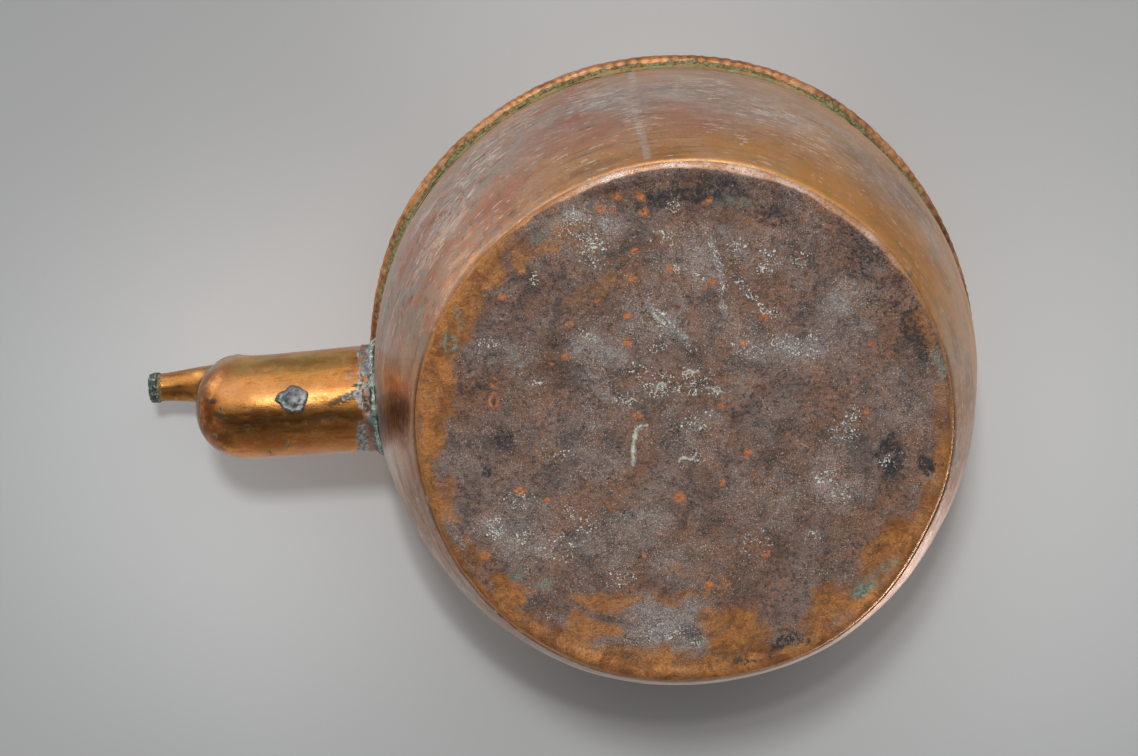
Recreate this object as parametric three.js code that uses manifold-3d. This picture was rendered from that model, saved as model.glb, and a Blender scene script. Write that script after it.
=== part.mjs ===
// Old copper tea kettle: flat hammered bottom, bulging wall, notched seam ring,
// domed shoulder, lift-off lid, swan-necked spout and a swinging bail handle.
// Millimetres, +Z up. Origin: centre of the underside. The spout points along +X.
import * as THREE from 'three';
import { mergeVertices } from 'three/addons/utils/BufferGeometryUtils.js';
import Module from 'manifold-3d';

const wasm = await Module();
wasm.setup();

// ---------------------------------------------------------------- dimensions
const GAP = 0.3;              // clearance between neighbouring pieces
const SEG = 40;               // facets round the kettle's own axis
const WALL_T = 1.6;           // copper sheet of the body
const BASE_R = 90;            // underside: 180 mm across
const BASE_T = 2.2;
const RING_R = 113.4;         // seam ring, the widest place
const RING_Z0 = 100.6;
const RING_Z1 = 105.9;
const WALL_TOP = 102.9;       // upper edge of the lower wall
const SHOULDER_Z = 103.2;     // lower edge of the shoulder
const NECK_R = 48.6;          // lid opening, outside of the neck
const NECK_T = 1.6;
const NECK_Z0 = 136.5;
const NECK_Z1 = 150.0;        // top of the neck's bead
const LID_R = 53.4;
const LID_T = 1.5;
const LID_Z = 150.3;          // underside of the lid's flange
const LID_TOP = 159.2;
const SKIRT_R = 45.5;
const SKIRT_T = 1.4;
const SKIRT_Z0 = 139.0;
const SPOUT_Z = 80.1;           // axis of the fat spout tube
const SPOUT_T = 1.6;
const SPOUT_SPLIT = 8.6;      // station where the beak begins
const PIVOT_Z = 146;          // axis of the bail's pins
const EAR_X0 = 72;            // lug plate of an ear
const EAR_X1 = 76;
const EYE_X0 = 76.4;          // flat eye of the bail
const EYE_X1 = 80.9;
const EYE_R = 8.5;
const PIN_R = 2.7;
const HOLE_R = 3.0;
const BAIL_W = 9;             // strap width
const BAIL_H = 4.5;           // strap thickness
const BAIL_REACH = 103;       // pivot axis to the crown's centre line
const GRIP_R = 7.2;
const GRIP_BORE = 5.5;
const GRIP_HALF = 36;
const RIVET_X = 66;
const RIVET_Y = 10.5;
const RIVET_R = 1.9;

// Outer profile of the lower wall, [radius, height]
const WALL = [
  [90.2, 2.5], [92.3, 3.5], [94.2, 5.6], [96.1, 9.8], [97.9, 15.5], [101.6, 31],
  [105.9, 51.6], [108.2, 63], [109.4, 74], [109.8, 84], [109.5, 93], [108.9, WALL_TOP],
];
// Outer profile of the shoulder
const DOME = [
  [108.9, SHOULDER_Z], [108.2, 108], [105.4, 113.6], [100, 119.6], [92, 125.3], [82, 130.3],
  [70, 134.6], [60, 137.2], [49.1, 139.4],
];

// ------------------------------------------------------------------- helpers
function solid(geometry) {
  const g = geometry.index ? geometry.toNonIndexed() : geometry.clone();
  g.deleteAttribute('normal');
  if (g.attributes.uv) g.deleteAttribute('uv');
  const m = mergeVertices(g, 1e-4);
  const p = m.attributes.position.array;
  const idx = m.index.array;
  let tris = [];
  let volume = 0;
  for (let i = 0; i < idx.length; i += 3) {
    const a = idx[i], b = idx[i + 1], c = idx[i + 2];
    if (a === b || b === c || a === c) continue;
    tris.push(a, b, c);
    volume += p[3 * a] * (p[3 * b + 1] * p[3 * c + 2] - p[3 * b + 2] * p[3 * c + 1])
      + p[3 * a + 1] * (p[3 * b + 2] * p[3 * c] - p[3 * b] * p[3 * c + 2])
      + p[3 * a + 2] * (p[3 * b] * p[3 * c + 1] - p[3 * b + 1] * p[3 * c]);
  }
  if (volume < 0) {
    const flipped = [];
    for (let i = 0; i < tris.length; i += 3) flipped.push(tris[i], tris[i + 2], tris[i + 1]);
    tris = flipped;
  }
  return new wasm.Manifold(new wasm.Mesh({
    numProp: 3,
    vertProperties: new Float32Array(p),
    triVerts: new Uint32Array(tris),
  }));
}

function geometryOf(manifold) {
  const mesh = manifold.getMesh();
  const g = new THREE.BufferGeometry();
  const n = mesh.vertProperties.length / mesh.numProp;
  const pos = new Float32Array(n * 3);
  for (let i = 0; i < n; i += 1) {
    for (let k = 0; k < 3; k += 1) pos[3 * i + k] = mesh.vertProperties[i * mesh.numProp + k];
  }
  g.setAttribute('position', new THREE.BufferAttribute(pos, 3));
  g.setIndex(Array.from(mesh.triVerts));
  g.computeVertexNormals();
  return g;
}

// Solid of revolution about +Z from [radius, height] points, closed on itself
// or starting and ending on the axis.
function lathe(points, segments = SEG) {
  const pts = points.map(([r, z]) => new THREE.Vector2(r, z));
  const onAxis = points[0][0] === 0 && points[points.length - 1][0] === 0;
  if (!onAxis) pts.push(pts[0].clone());
  const g = new THREE.LatheGeometry(pts, segments);
  g.rotateX(Math.PI / 2);
  return g;
}

// Profile moved by d to its left (outwards is negative for a rising profile).
function offset(points, d) {
  return points.map((p, i) => {
    const a = points[Math.max(0, i - 1)], b = points[Math.min(points.length - 1, i + 1)];
    const n1 = [p[0] - a[0], p[1] - a[1]], n2 = [b[0] - p[0], b[1] - p[1]];
    const unit = (v) => { const l = Math.hypot(v[0], v[1]) || 1; return [v[0] / l, v[1] / l]; };
    const u1 = i === 0 ? unit(n2) : unit(n1), u2 = i === points.length - 1 ? unit(n1) : unit(n2);
    const t = unit([u1[0] + u2[0], u1[1] + u2[1]]);
    const c = Math.max(0.5, u1[0] * t[0] + u1[1] * t[1]);
    return [p[0] - (t[1] * d) / c, p[1] + (t[0] * d) / c];
  });
}

// Cylinder along +X between x0 and x1
function rodX(r, x0, x1, y, z, segments = 24) {
  const g = new THREE.CylinderGeometry(r, r, x1 - x0, segments);
  g.rotateZ(-Math.PI / 2);
  g.translate((x0 + x1) / 2, y, z);
  return g;
}

// Turned piece about +X: [radius, x] points
function latheX(points, y, z, segments = 24) {
  const g = lathe(points, segments);
  g.rotateY(Math.PI / 2);
  g.translate(0, y, z);
  return g;
}

// The spout is lofted through elliptic sections that stand square to the plane
// y = 0. Each section runs from a throat point to a heel point in that plane.
// [throat x, throat z, heel x, heel z, half width]
const SPOUT = [
  [98, 99.4, 98, 60.8, 19.4], [112, 99.3, 112, 60.9, 19.3], [124, 99.1, 126, 61.0, 19.2],
  [134, 98.8, 142, 61.1, 19.0], [141, 98.8, 155.5, 61.3, 18.9], [145, 99.6, 166.4, 63.6, 18.8],
  [147.6, 101.2, 172.6, 69.2, 18.4], [149.2, 103.4, 175.2, 77.0, 17.6],
  [150.6, 106.2, 175.6, 85.4, 15.8], [152.2, 109.8, 175.0, 93.4, 13.9],
  [154.8, 114.4, 174.4, 101, 12.0], [158.8, 119.4, 175.2, 108, 10.6],
  [164.6, 124.2, 177.6, 113.6, 8.9], [172.0, 127.8, 181.6, 117.2, 7.5],
  [180.4, 129.6, 186.6, 119.0, 6.5], [189.6, 129.9, 192.8, 119.6, 5.6],
  [199.5, 129.6, 199.5, 119.4, 5.1],
];
const SPOUT_N = SPOUT.length - 1;
const throatLine = new THREE.CatmullRomCurve3(
  SPOUT.map((s) => new THREE.Vector3(s[0], 0, s[1])), false, 'catmullrom', 0.5,
);
const heelLine = new THREE.CatmullRomCurve3(
  SPOUT.map((s) => new THREE.Vector3(s[2], s[4], s[3])), false, 'catmullrom', 0.5,
);
// points: [station, growth outwards in mm, or null for the centre of the section]
function spoutLoft(points, segments) {
  const closed = points[0][1] !== null;
  const list = closed ? [...points, points[0]] : points;
  const grow = list.map((p) => p[1]);
  const g = new THREE.LatheGeometry(
    list.map((p) => new THREE.Vector2(p[1] === null ? 0 : 1, p[0])), segments,
  );
  const pos = g.attributes.position;
  const rows = list.length;
  for (let i = 0; i < pos.count; i += 1) {
    const row = i % rows;
    const u = list[row][0] / SPOUT_N;
    const t = throatLine.getPoint(u);
    const hw = heelLine.getPoint(u);
    const half = hw.y;
    const heel = new THREE.Vector3(hw.x, 0, hw.z);
    const c = t.clone().add(heel).multiplyScalar(0.5);
    const d = heel.clone().sub(t);
    const a = d.length() / 2;
    d.normalize();
    if (grow[row] !== null) {
      const x = pos.getX(i), z = pos.getZ(i);
      c.addScaledVector(d, x * (a + grow[row]));
      c.y += z * (half + grow[row]);
    }
    pos.setXYZ(i, c.x, c.y, c.z);
  }
  return g;
}
function stations(u0, u1, steps, grow) {
  return Array.from({ length: steps + 1 }, (_, i) => [u0 + (u1 - u0) * i / steps, grow]);
}
function spoutShell(u0, u1, steps, thickness, segments) {
  return solid(spoutLoft([
    ...stations(u0, u1, steps, 0), ...stations(u1, u0, steps, -thickness),
  ], segments));
}
function spoutPlug(u0, u1, steps, grow, segments) {
  return solid(spoutLoft([
    [u0, null], ...stations(u0, u1, steps, grow), [u1, null],
  ], segments));
}

const group = new THREE.Group();
function part(name, geometry, color, roughness, metalness) {
  const mesh = new THREE.Mesh(
    geometry,
    new THREE.MeshStandardMaterial({ color, roughness, metalness }),
  );
  mesh.name = name;
  group.add(mesh);
  return mesh;
}

// ----------------------------------------------------------------- body pieces
const wallInner = offset(WALL, WALL_T);
wallInner[0] = [88.6, 4.1];
const lowerProfile = [
  [80, 2.5], ...WALL,
  ...wallInner.slice().reverse(), [80, 4.1],
];
const domeInner = offset(DOME, WALL_T);
domeInner[0] = [107.3, SHOULDER_Z];
domeInner[domeInner.length - 1] = [49.1, 139.4 - 1.65];
const shoulderProfile = [...DOME, ...domeInner.slice().reverse()];

// Outside of the lower wall, grown by the clearance, as one plug
const wallGrown = offset(WALL, -GAP);
const wallPlug = solid(lathe([[0, -1], [wallGrown[0][0], -1], ...wallGrown, [108.9, 112], [0, 112]]));

// Underside plate
part('base_plate', geometryOf(solid(lathe([
  [0, 0], [88.7, 0], [BASE_R, 0.8], [BASE_R, 1.6], [89.3, BASE_T], [0, BASE_T],
]))), 0x5b4036, 0.6, 0.8);

// Lower wall with the hole behind the spout
const spoutBore = solid(rodX(SPOUT[0][4] - SPOUT_T, 85, 125, 0, SPOUT_Z, 24));
part('lower_body', geometryOf(solid(lathe(lowerProfile)).subtract(spoutBore)), 0xb0714a, 0.38, 0.95);

// Band over the joint between wall and shoulder
part('shoulder_seam_ring', geometryOf(solid(lathe([
  [109.5, RING_Z0], [112.5, 101.0], [RING_R, 102.1], [RING_R, 104.3], [112.3, 105.5],
  [109.5, RING_Z1],
]))), 0x8f5b3c, 0.55, 0.85);

// ------------------------------------------------------------ shoulder and ears
const domeGrown = offset(DOME, -GAP);
const domePlug = solid(lathe([
  [0, 90], [domeGrown[0][0], 90], ...domeGrown, [0, domeGrown[domeGrown.length - 1][1]],
]));
const footTop = offset(DOME, -2.6);
const footShell = solid(lathe([...domeGrown.slice(4), ...footTop.slice(4).reverse()]));

function domeHeight(r) {
  for (let i = 1; i < DOME.length; i += 1) {
    if (r >= DOME[i][0]) {
      const [r0, z0] = DOME[i - 1], [r1, z1] = DOME[i];
      return { z: z1 + (z0 - z1) * (r - r1) / (r0 - r1), slope: (z0 - z1) / (r0 - r1) };
    }
  }
  return { z: DOME[DOME.length - 1][1], slope: 0 };
}

// Position and direction of a rivet through the shoulder
function rivetFrame(x, y) {
  const r = Math.hypot(x, y);
  const { z, slope } = domeHeight(r);
  const normal = new THREE.Vector3(-slope * x / r, -slope * y / r, 1).normalize();
  const q = new THREE.Quaternion().setFromUnitVectors(new THREE.Vector3(0, 0, 1), normal);
  return new THREE.Matrix4().compose(
    new THREE.Vector3(x, y, z), q, new THREE.Vector3(1, 1, 1),
  );
}

const rivets = [
  ['front_ear_rivet_left', RIVET_X, RIVET_Y], ['front_ear_rivet_right', RIVET_X, -RIVET_Y],
  ['rear_ear_rivet_left', -RIVET_X, RIVET_Y], ['rear_ear_rivet_right', -RIVET_X, -RIVET_Y],
];
function rivetHole(x, y) {
  const g = new THREE.CylinderGeometry(RIVET_R + GAP, RIVET_R + GAP, 16, 12);
  g.rotateX(Math.PI / 2);
  g.applyMatrix4(rivetFrame(x, y));
  return solid(g);
}
let shoulder = solid(lathe(shoulderProfile));
for (const [, x, y] of rivets) shoulder = shoulder.subtract(rivetHole(x, y));
part('shoulder', geometryOf(shoulder), 0xb67a55, 0.4, 0.95);

// Ear: lug plate with a round head, two rests for the strap, and a riveted foot
function ear() {
  const s = new THREE.Shape();
  s.moveTo(-14, 126);
  s.lineTo(14, 126);
  s.lineTo(14, PIVOT_Z - BAIL_W / 2 - 0.4);
  s.lineTo(9.6, PIVOT_Z - BAIL_W / 2 - 0.4);
  s.lineTo(8.3, PIVOT_Z - 1.8);
  s.absarc(0, PIVOT_Z, EYE_R, -0.2, Math.PI + 0.2, false);
  s.lineTo(-9.6, PIVOT_Z - BAIL_W / 2 - 0.4);
  s.lineTo(-14, PIVOT_Z - BAIL_W / 2 - 0.4);
  s.closePath();
  const g = new THREE.ExtrudeGeometry(s, {
    depth: EAR_X1 - EAR_X0, bevelEnabled: false, curveSegments: 8,
  });
  g.applyMatrix4(new THREE.Matrix4().set(
    0, 0, 1, EAR_X0,
    1, 0, 0, 0,
    0, 1, 0, 0,
    0, 0, 0, 1,
  ));
  let m = solid(g);
  for (const y of [-11.8, 11.8]) {
    const rest = new THREE.BoxGeometry(EYE_X1 - EAR_X0 + 0.6, 4.4, 2.6);
    rest.translate((EAR_X0 + EYE_X1 + 0.6) / 2, y, PIVOT_Z - BAIL_W / 2 - 0.4 - 1.3);
    m = m.add(solid(rest));
  }
  const f = new THREE.Shape();
  const x0 = 60, x1 = 81, h = 17, c = 4;
  f.moveTo(x0 + c, -h);
  f.lineTo(x1 - c, -h);
  f.absarc(x1 - c, -h + c, c, -Math.PI / 2, 0, false);
  f.absarc(x1 - c, h - c, c, 0, Math.PI / 2, false);
  f.absarc(x0 + c, h - c, c, Math.PI / 2, Math.PI, false);
  f.absarc(x0 + c, -h + c, c, Math.PI, 1.5 * Math.PI, false);
  const fg = new THREE.ExtrudeGeometry(f, { depth: 30, bevelEnabled: false, curveSegments: 3 });
  fg.translate(0, 0, 120);
  m = m.subtract(domePlug).add(solid(fg).intersect(footShell));
  m = m.subtract(solid(rodX(HOLE_R, EAR_X0 - 4, EAR_X1 + 4, 0, PIVOT_Z, 16)));
  for (const y of [RIVET_Y, -RIVET_Y]) m = m.subtract(rivetHole(RIVET_X, y));
  return m;
}
const frontEar = geometryOf(ear());
part('front_ear', frontEar, 0x9a6543, 0.5, 0.9);
const rearEar = frontEar.clone();
rearEar.rotateZ(Math.PI);
part('rear_ear', rearEar, 0x9a6543, 0.5, 0.9);

const rivetProfile = [
  [0, -3.6], [2.4, -3.3], [3.2, -2.6], [3.2, -2.1], [RIVET_R, -2.1], [RIVET_R, 3.05],
  [3.7, 3.05], [3.7, 3.6], [2.7, 4.8], [0, 5.3],
];
for (const [name, x, y] of rivets) {
  const g = lathe(rivetProfile, 12);
  g.applyMatrix4(rivetFrame(x, y));
  part(name, geometryOf(solid(g)), 0xa06a48, 0.45, 0.95);
}

// Neck round the lid's opening, with a bead at its top and a flange on the shoulder
part('lid_neck', geometryOf(solid(lathe([
  [NECK_R - NECK_T, NECK_Z0], [NECK_R, NECK_Z0], [NECK_R, 139.8], [53.2, 139.8], [53.2, 141.2],
  [NECK_R + 0.4, 141.6], [NECK_R, 146.4], [50.0, 146.9], [50.7, 148.2], [50.0, 149.5],
  [48.6, NECK_Z1], [47.2, 149.6], [46.5, 148.4], [NECK_R - NECK_T, 146.8],
]))), 0xa9714c, 0.42, 0.95);

// ------------------------------------------------------------------------ spout
const spoutLower = spoutShell(0, SPOUT_SPLIT - 0.04, 17, SPOUT_T, 24).subtract(wallPlug);
part('spout_lower', geometryOf(spoutLower), 0xb9783f, 0.36, 0.95);
part('spout_beak', geometryOf(spoutShell(SPOUT_SPLIT + 0.04, 15.52, 13, 1.2, 20)),
  0xb0703c, 0.38, 0.95);
// Solder bead over the joint between tube and beak
part('spout_joint_solder', geometryOf(solid(spoutLoft([
  [SPOUT_SPLIT - 0.36, GAP], [SPOUT_SPLIT - 0.2, 1.2], [SPOUT_SPLIT + 0.14, 1.3],
  [SPOUT_SPLIT + 0.36, 0.7], [SPOUT_SPLIT + 0.4, GAP],
], 24))), 0x8d8f8c, 0.5, 0.7);
// Bead round the mouth
part('spout_tip_rim', geometryOf(solid(spoutLoft([
  [15.57, -1.1], [15.57, 0], [15.66, 0.5], [15.88, 0.5], [16, 0], [16, -1.1],
], 20))), 0x3c4a3e, 0.7, 0.5);

// Room for the seam ring, grown by the clearance
const ringPlug = solid(lathe([
  [109.1, RING_Z0 - GAP], [RING_R + GAP, RING_Z0 - GAP], [RING_R + GAP, RING_Z1 + GAP],
  [109.1, RING_Z1 + GAP],
]));
// Solder fillet round the root of the spout
const collar = solid(latheX([
  [10, 98], [22.0, 98], [22.0, 109], [21.5, 112.5], [20.6, 115.6], [19.7, 116.8], [10, 116.8],
], 0, SPOUT_Z, 24)).subtract(wallPlug)
  .subtract(spoutPlug(0, 3, 6, GAP, 24)).subtract(ringPlug);
part('spout_root_solder', geometryOf(collar), 0x7d807c, 0.6, 0.6);

// Lozenge of solder on the underside of the tube
const blob = new THREE.SphereGeometry(1, 14, 8);
blob.scale(5.9, 5.0, 2.0);
blob.translate(0, 0, -19.5);
blob.rotateX(19 * Math.PI / 180);
blob.translate(137.4, 0, 81.2);
part('spout_patch', geometryOf(solid(blob).subtract(spoutPlug(0, 7, 14, GAP, 24))),
  0x6f7679, 0.5, 0.6);

// -------------------------------------------------------------------------- bail
// The strap lies flat at rest: its eyes are on the pins, its crown towards -Y.
const bailHalf = [
  [(EYE_X0 + EYE_X1) / 2, 0], [(EYE_X0 + EYE_X1) / 2, -12], [79.2, -34], [77.6, -56],
  [70.5, -78], [57, -94], [46, -100.6], [38, -BAIL_REACH], [18, -BAIL_REACH],
];
const bailLine = new THREE.CatmullRomCurve3([
  ...bailHalf.map(([x, y]) => new THREE.Vector3(x, y, PIVOT_Z)),
  ...bailHalf.slice().reverse().map(([x, y]) => new THREE.Vector3(-x, y, PIVOT_Z)),
], false, 'centripetal');
const strap = new THREE.Shape();
const w = BAIL_W / 2, h = BAIL_H / 2;
strap.moveTo(-w, -h + 1.2);
strap.lineTo(-w + 1.4, -h);
strap.lineTo(w - 1.4, -h);
strap.lineTo(w, -h + 1.2);
strap.lineTo(w, h - 1.2);
strap.lineTo(w - 1.4, h);
strap.lineTo(-w + 1.4, h);
strap.lineTo(-w, h - 1.2);
strap.closePath();
let bail = solid(new THREE.ExtrudeGeometry(strap, {
  steps: 40, extrudePath: bailLine, bevelEnabled: false,
}));
for (const side of [1, -1]) {
  const x0 = side > 0 ? EYE_X0 : -EYE_X1;
  bail = bail.add(solid(rodX(EYE_R, x0, x0 + BAIL_H, 0, PIVOT_Z, 20)));
}
for (const side of [1, -1]) {
  const x0 = side > 0 ? EYE_X0 : -EYE_X1;
  bail = bail.subtract(solid(rodX(HOLE_R, x0 - 3, x0 + BAIL_H + 3, 0, PIVOT_Z, 16)));
}
part('bail', geometryOf(bail), 0x8c5a3a, 0.5, 0.9);

part('bail_grip', geometryOf(solid(latheX([
  [GRIP_BORE, -GRIP_HALF], [GRIP_R - 0.6, -GRIP_HALF], [GRIP_R, -GRIP_HALF + 1],
  [GRIP_R, GRIP_HALF - 1], [GRIP_R - 0.6, GRIP_HALF], [GRIP_BORE, GRIP_HALF],
], -BAIL_REACH, PIVOT_Z, 16))), 0xa56b42, 0.42, 0.95);

for (const [name, side] of [['front', 1], ['rear', -1]]) {
  const pin = latheX([
    [0, 69.0], [3.6, 69.2], [5.0, 70.4], [5.0, 71.6], [PIN_R, 71.6], [PIN_R, 82.8],
    [5.2, 82.8], [5.2, 83.8], [3.8, 85.0], [0, 85.4],
  ], 0, PIVOT_Z, 16);
  const washer = latheX([
    [HOLE_R, 81.25], [6.6, 81.25], [6.6, 82.45], [HOLE_R, 82.45],
  ], 0, PIVOT_Z, 16);
  if (side < 0) {
    pin.rotateZ(Math.PI);
    washer.rotateZ(Math.PI);
  }
  part(`${name}_pivot_pin`, geometryOf(solid(pin)), 0x9c6a48, 0.45, 0.95);
  part(`${name}_pivot_washer`, geometryOf(solid(washer)), 0xa8744e, 0.45, 0.95);
}

// --------------------------------------------------------------------------- lid
const LID_SEG = 36;
const lidOuter = [
  [LID_R, LID_Z + 0.7], [LID_R - 0.5, LID_Z + 1.5], [47.5, LID_Z + 1.9], [41, 154.2],
  [32, 156.5], [21, 158.3], [11, LID_TOP], [2.6, LID_TOP],
];
const lidInner = [
  [2.6, LID_TOP - LID_T], [11, LID_TOP - LID_T], [21, 158.3 - LID_T], [32, 156.5 - LID_T - 0.05],
  [40.4, 154.2 - LID_T - 0.1], [43.4, LID_Z + 0.6], [44, LID_Z], [LID_R - 0.5, LID_Z],
];
part('lid_dome', geometryOf(solid(lathe([...lidOuter, ...lidInner], LID_SEG))), 0xb47a52, 0.4, 0.95);
part('lid_skirt', geometryOf(solid(lathe([
  [SKIRT_R - SKIRT_T, SKIRT_Z0], [SKIRT_R - 0.4, SKIRT_Z0], [SKIRT_R, SKIRT_Z0 + 1],
  [SKIRT_R, LID_Z - GAP], [SKIRT_R - SKIRT_T, LID_Z - GAP],
], LID_SEG))), 0xa8744e, 0.45, 0.95);
part('lid_knob', geometryOf(solid(lathe([
  [2.5, LID_TOP + GAP], [9.2, LID_TOP + GAP], [9.4, 160.4], [7.2, 161.4], [4.4, 162.6],
  [3.9, 164.0], [5.2, 165.4], [8.0, 167.2], [9.3, 169.6], [8.8, 172.2], [6.4, 174.4],
  [3.2, 175.6], [2.4, 176.4], [1.2, 177.0], [0, 177.1], [0, 170], [2.5, 170],
], 24))), 0x9a7034, 0.4, 0.9);
part('knob_rivet', geometryOf(solid(lathe([
  [0, 154.1], [3.4, 154.4], [4.6, 155.2], [4.6, 155.9], [2.2, 155.9], [2.2, 169.6], [0, 169.6],
], 16))), 0x9c6a48, 0.45, 0.95);
part('knob_washer', geometryOf(solid(lathe([
  [2.6, 156.2], [8, 156.2], [8, 157.4], [2.6, 157.4],
], 20))), 0xa8744e, 0.5, 0.9);

export default group;
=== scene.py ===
import math

import bmesh
import bpy
import numpy as np
from mathutils import Matrix, Vector


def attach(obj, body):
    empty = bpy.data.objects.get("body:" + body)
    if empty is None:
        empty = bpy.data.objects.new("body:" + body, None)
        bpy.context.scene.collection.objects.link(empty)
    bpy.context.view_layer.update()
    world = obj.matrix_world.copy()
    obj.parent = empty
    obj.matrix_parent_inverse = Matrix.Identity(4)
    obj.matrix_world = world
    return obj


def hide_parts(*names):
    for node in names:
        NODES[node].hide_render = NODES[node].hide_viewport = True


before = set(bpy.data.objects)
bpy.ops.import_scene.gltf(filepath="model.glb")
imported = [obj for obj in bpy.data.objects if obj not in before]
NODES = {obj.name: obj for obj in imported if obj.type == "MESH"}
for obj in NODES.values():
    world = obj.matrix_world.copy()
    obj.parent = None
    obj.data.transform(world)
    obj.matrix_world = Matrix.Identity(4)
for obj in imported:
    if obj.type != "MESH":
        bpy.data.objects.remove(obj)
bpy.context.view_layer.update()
MM = 0.001

# ------------------------------------------------------------------ the camera
CAM = np.array([0.0250, 0.2168, -0.8081])
RIGHT = np.array([-0.99658, -0.08245, -0.00505])
UP = np.array([-0.08132, 0.96833, 0.23605])
BACK = np.array([-0.01457, 0.23566, -0.97173])
FOCAL = 2500.0  # pixels, for an image of 1138 x 756
CENTRE = (569.0, 378.0)


def pixels(co_mm):
    """Where points (n, 3) in millimetres fall in the 1138 x 756 picture."""
    d = np.asarray(co_mm) * MM - CAM
    depth = -(d @ BACK)
    return CENTRE[0] + FOCAL * (d @ RIGHT) / depth, CENTRE[1] - FOCAL * (d @ UP) / depth


def camera():
    data = bpy.data.cameras.new("camera")
    data.sensor_fit = "HORIZONTAL"
    data.sensor_width = 36.0
    data.lens = FOCAL / 1138.0 * 36.0
    data.clip_start, data.clip_end = 0.01, 50.0
    obj = bpy.data.objects.new("camera", data)
    bpy.context.scene.collection.objects.link(obj)
    m = Matrix.Identity(4)
    for i in range(3):
        m[i][0], m[i][1], m[i][2], m[i][3] = RIGHT[i], UP[i], BACK[i], CAM[i]
    obj.matrix_world = m
    bpy.context.scene.camera = obj


camera()

# ------------------------------------------------------------------ noise, all seeded


def _hash(ix, iy, iz, seed):
    h = (
        ix * np.uint32(374761393)
        + iy * np.uint32(668265263)
        + iz * np.uint32(2246822519)
        + np.uint32((seed * 3266489917) & 0xFFFFFFFF)
    )
    h = (h ^ (h >> np.uint32(15))) * np.uint32(2246822519)
    h = (h ^ (h >> np.uint32(13))) * np.uint32(3266489917)
    h = h ^ (h >> np.uint32(16))
    return h.astype(np.float64) / 4294967295.0


def noise(p, seed=0):
    """Smooth value noise from -1 to 1 at points p (n, 3)."""
    p = np.asarray(p, float)
    cell = np.floor(p).astype(np.int64)
    f = p - cell
    f = f * f * f * (f * (f * 6 - 15) + 10)
    c = cell.astype(np.uint32)
    one = np.uint32(1)
    total = 0.0
    for dx in (0, 1):
        wx = f[:, 0] if dx else 1 - f[:, 0]
        for dy in (0, 1):
            wy = f[:, 1] if dy else 1 - f[:, 1]
            for dz in (0, 1):
                wz = f[:, 2] if dz else 1 - f[:, 2]
                total = total + wx * wy * wz * _hash(
                    c[:, 0] + one * np.uint32(dx),
                    c[:, 1] + one * np.uint32(dy),
                    c[:, 2] + one * np.uint32(dz),
                    seed,
                )
    return total * 2 - 1


def fbm(p, size, octaves=4, seed=0, gain=0.5):
    """Layered noise; size is the width of the largest lumps in millimetres."""
    p = np.asarray(p, float) / size
    total, amp, norm = 0.0, 1.0, 0.0
    for k in range(octaves):
        total = total + amp * noise(p * 2.03**k + 17.3 * k, seed + k)
        norm += amp
        amp *= gain
    return total / norm


def cells(p, size, seed=0):
    """Distance to the nearest and second nearest scattered point, in cell widths, and a random number of the nearest."""
    p = np.asarray(p, float) / size
    base = np.floor(p).astype(np.int64)
    best = np.full(len(p), 9.0)
    second = np.full(len(p), 9.0)
    who = np.zeros(len(p))
    for dx in (-1, 0, 1):
        for dy in (-1, 0, 1):
            for dz in (-1, 0, 1):
                c = base + np.array([dx, dy, dz])
                u = c.astype(np.uint32)
                q = np.stack([_hash(u[:, 0], u[:, 1], u[:, 2], seed + k) for k in (1, 2, 3)], 1)
                d = np.linalg.norm(c + q - p, axis=1)
                near = d < best
                second = np.where(near, best, np.minimum(second, d))
                who = np.where(near, _hash(u[:, 0], u[:, 1], u[:, 2], seed + 4), who)
                best = np.where(near, d, best)
    return best, second, who


def ease(x, a, b):
    """0 below a, 1 above b, smooth between."""
    t = np.clip((np.asarray(x, float) - a) / (b - a), 0, 1)
    return t * t * (3 - 2 * t)


def table(theta_deg, pairs):
    """Smooth periodic curve through a short list of (degrees, value)."""
    pairs = sorted(pairs)
    x = np.array([p[0] for p in pairs], float)
    y = np.array([p[1] for p in pairs], float)
    x3 = np.concatenate([x - 360, x, x + 360])
    y3 = np.concatenate([y, y, y])
    fine = np.arange(-360, 361, 2.0)
    v = np.interp(fine, x3, y3)
    kernel = np.exp(-0.5 * (np.arange(-8, 9) / 3.0) ** 2)
    v = np.convolve(v, kernel / kernel.sum(), mode="same")
    return np.interp((np.asarray(theta_deg) + 180) % 360 - 180, fine, v)


# ------------------------------------------------------------------ curves and meshes


def smooth_line(points, step):
    """Points on a smooth curve through the given ones, about step apart."""
    p = np.array(points, float)
    ext = np.vstack([2 * p[0] - p[1], p, 2 * p[-1] - p[-2]])
    out = []
    for i in range(len(p) - 1):
        p0, p1, p2, p3 = ext[i : i + 4]
        d = [max(np.linalg.norm(b - a), 1e-6) ** 0.5 for a, b in ((p0, p1), (p1, p2), (p2, p3))]
        t1 = ((p1 - p0) / d[0] - (p2 - p0) / (d[0] + d[1]) + (p2 - p1) / d[1]) * d[1]
        t2 = ((p2 - p1) / d[1] - (p3 - p1) / (d[1] + d[2]) + (p3 - p2) / d[2]) * d[1]
        n = max(1, int(round(np.linalg.norm(p2 - p1) / step)))
        for t in np.arange(n) / n:
            h = (2 * t**3 - 3 * t**2 + 1, t**3 - 2 * t**2 + t, -2 * t**3 + 3 * t**2, t**3 - t**2)
            out.append(h[0] * p1 + h[1] * t1 + h[2] * p2 + h[3] * t2)
    out.append(p[-1])
    return np.array(out)


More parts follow.
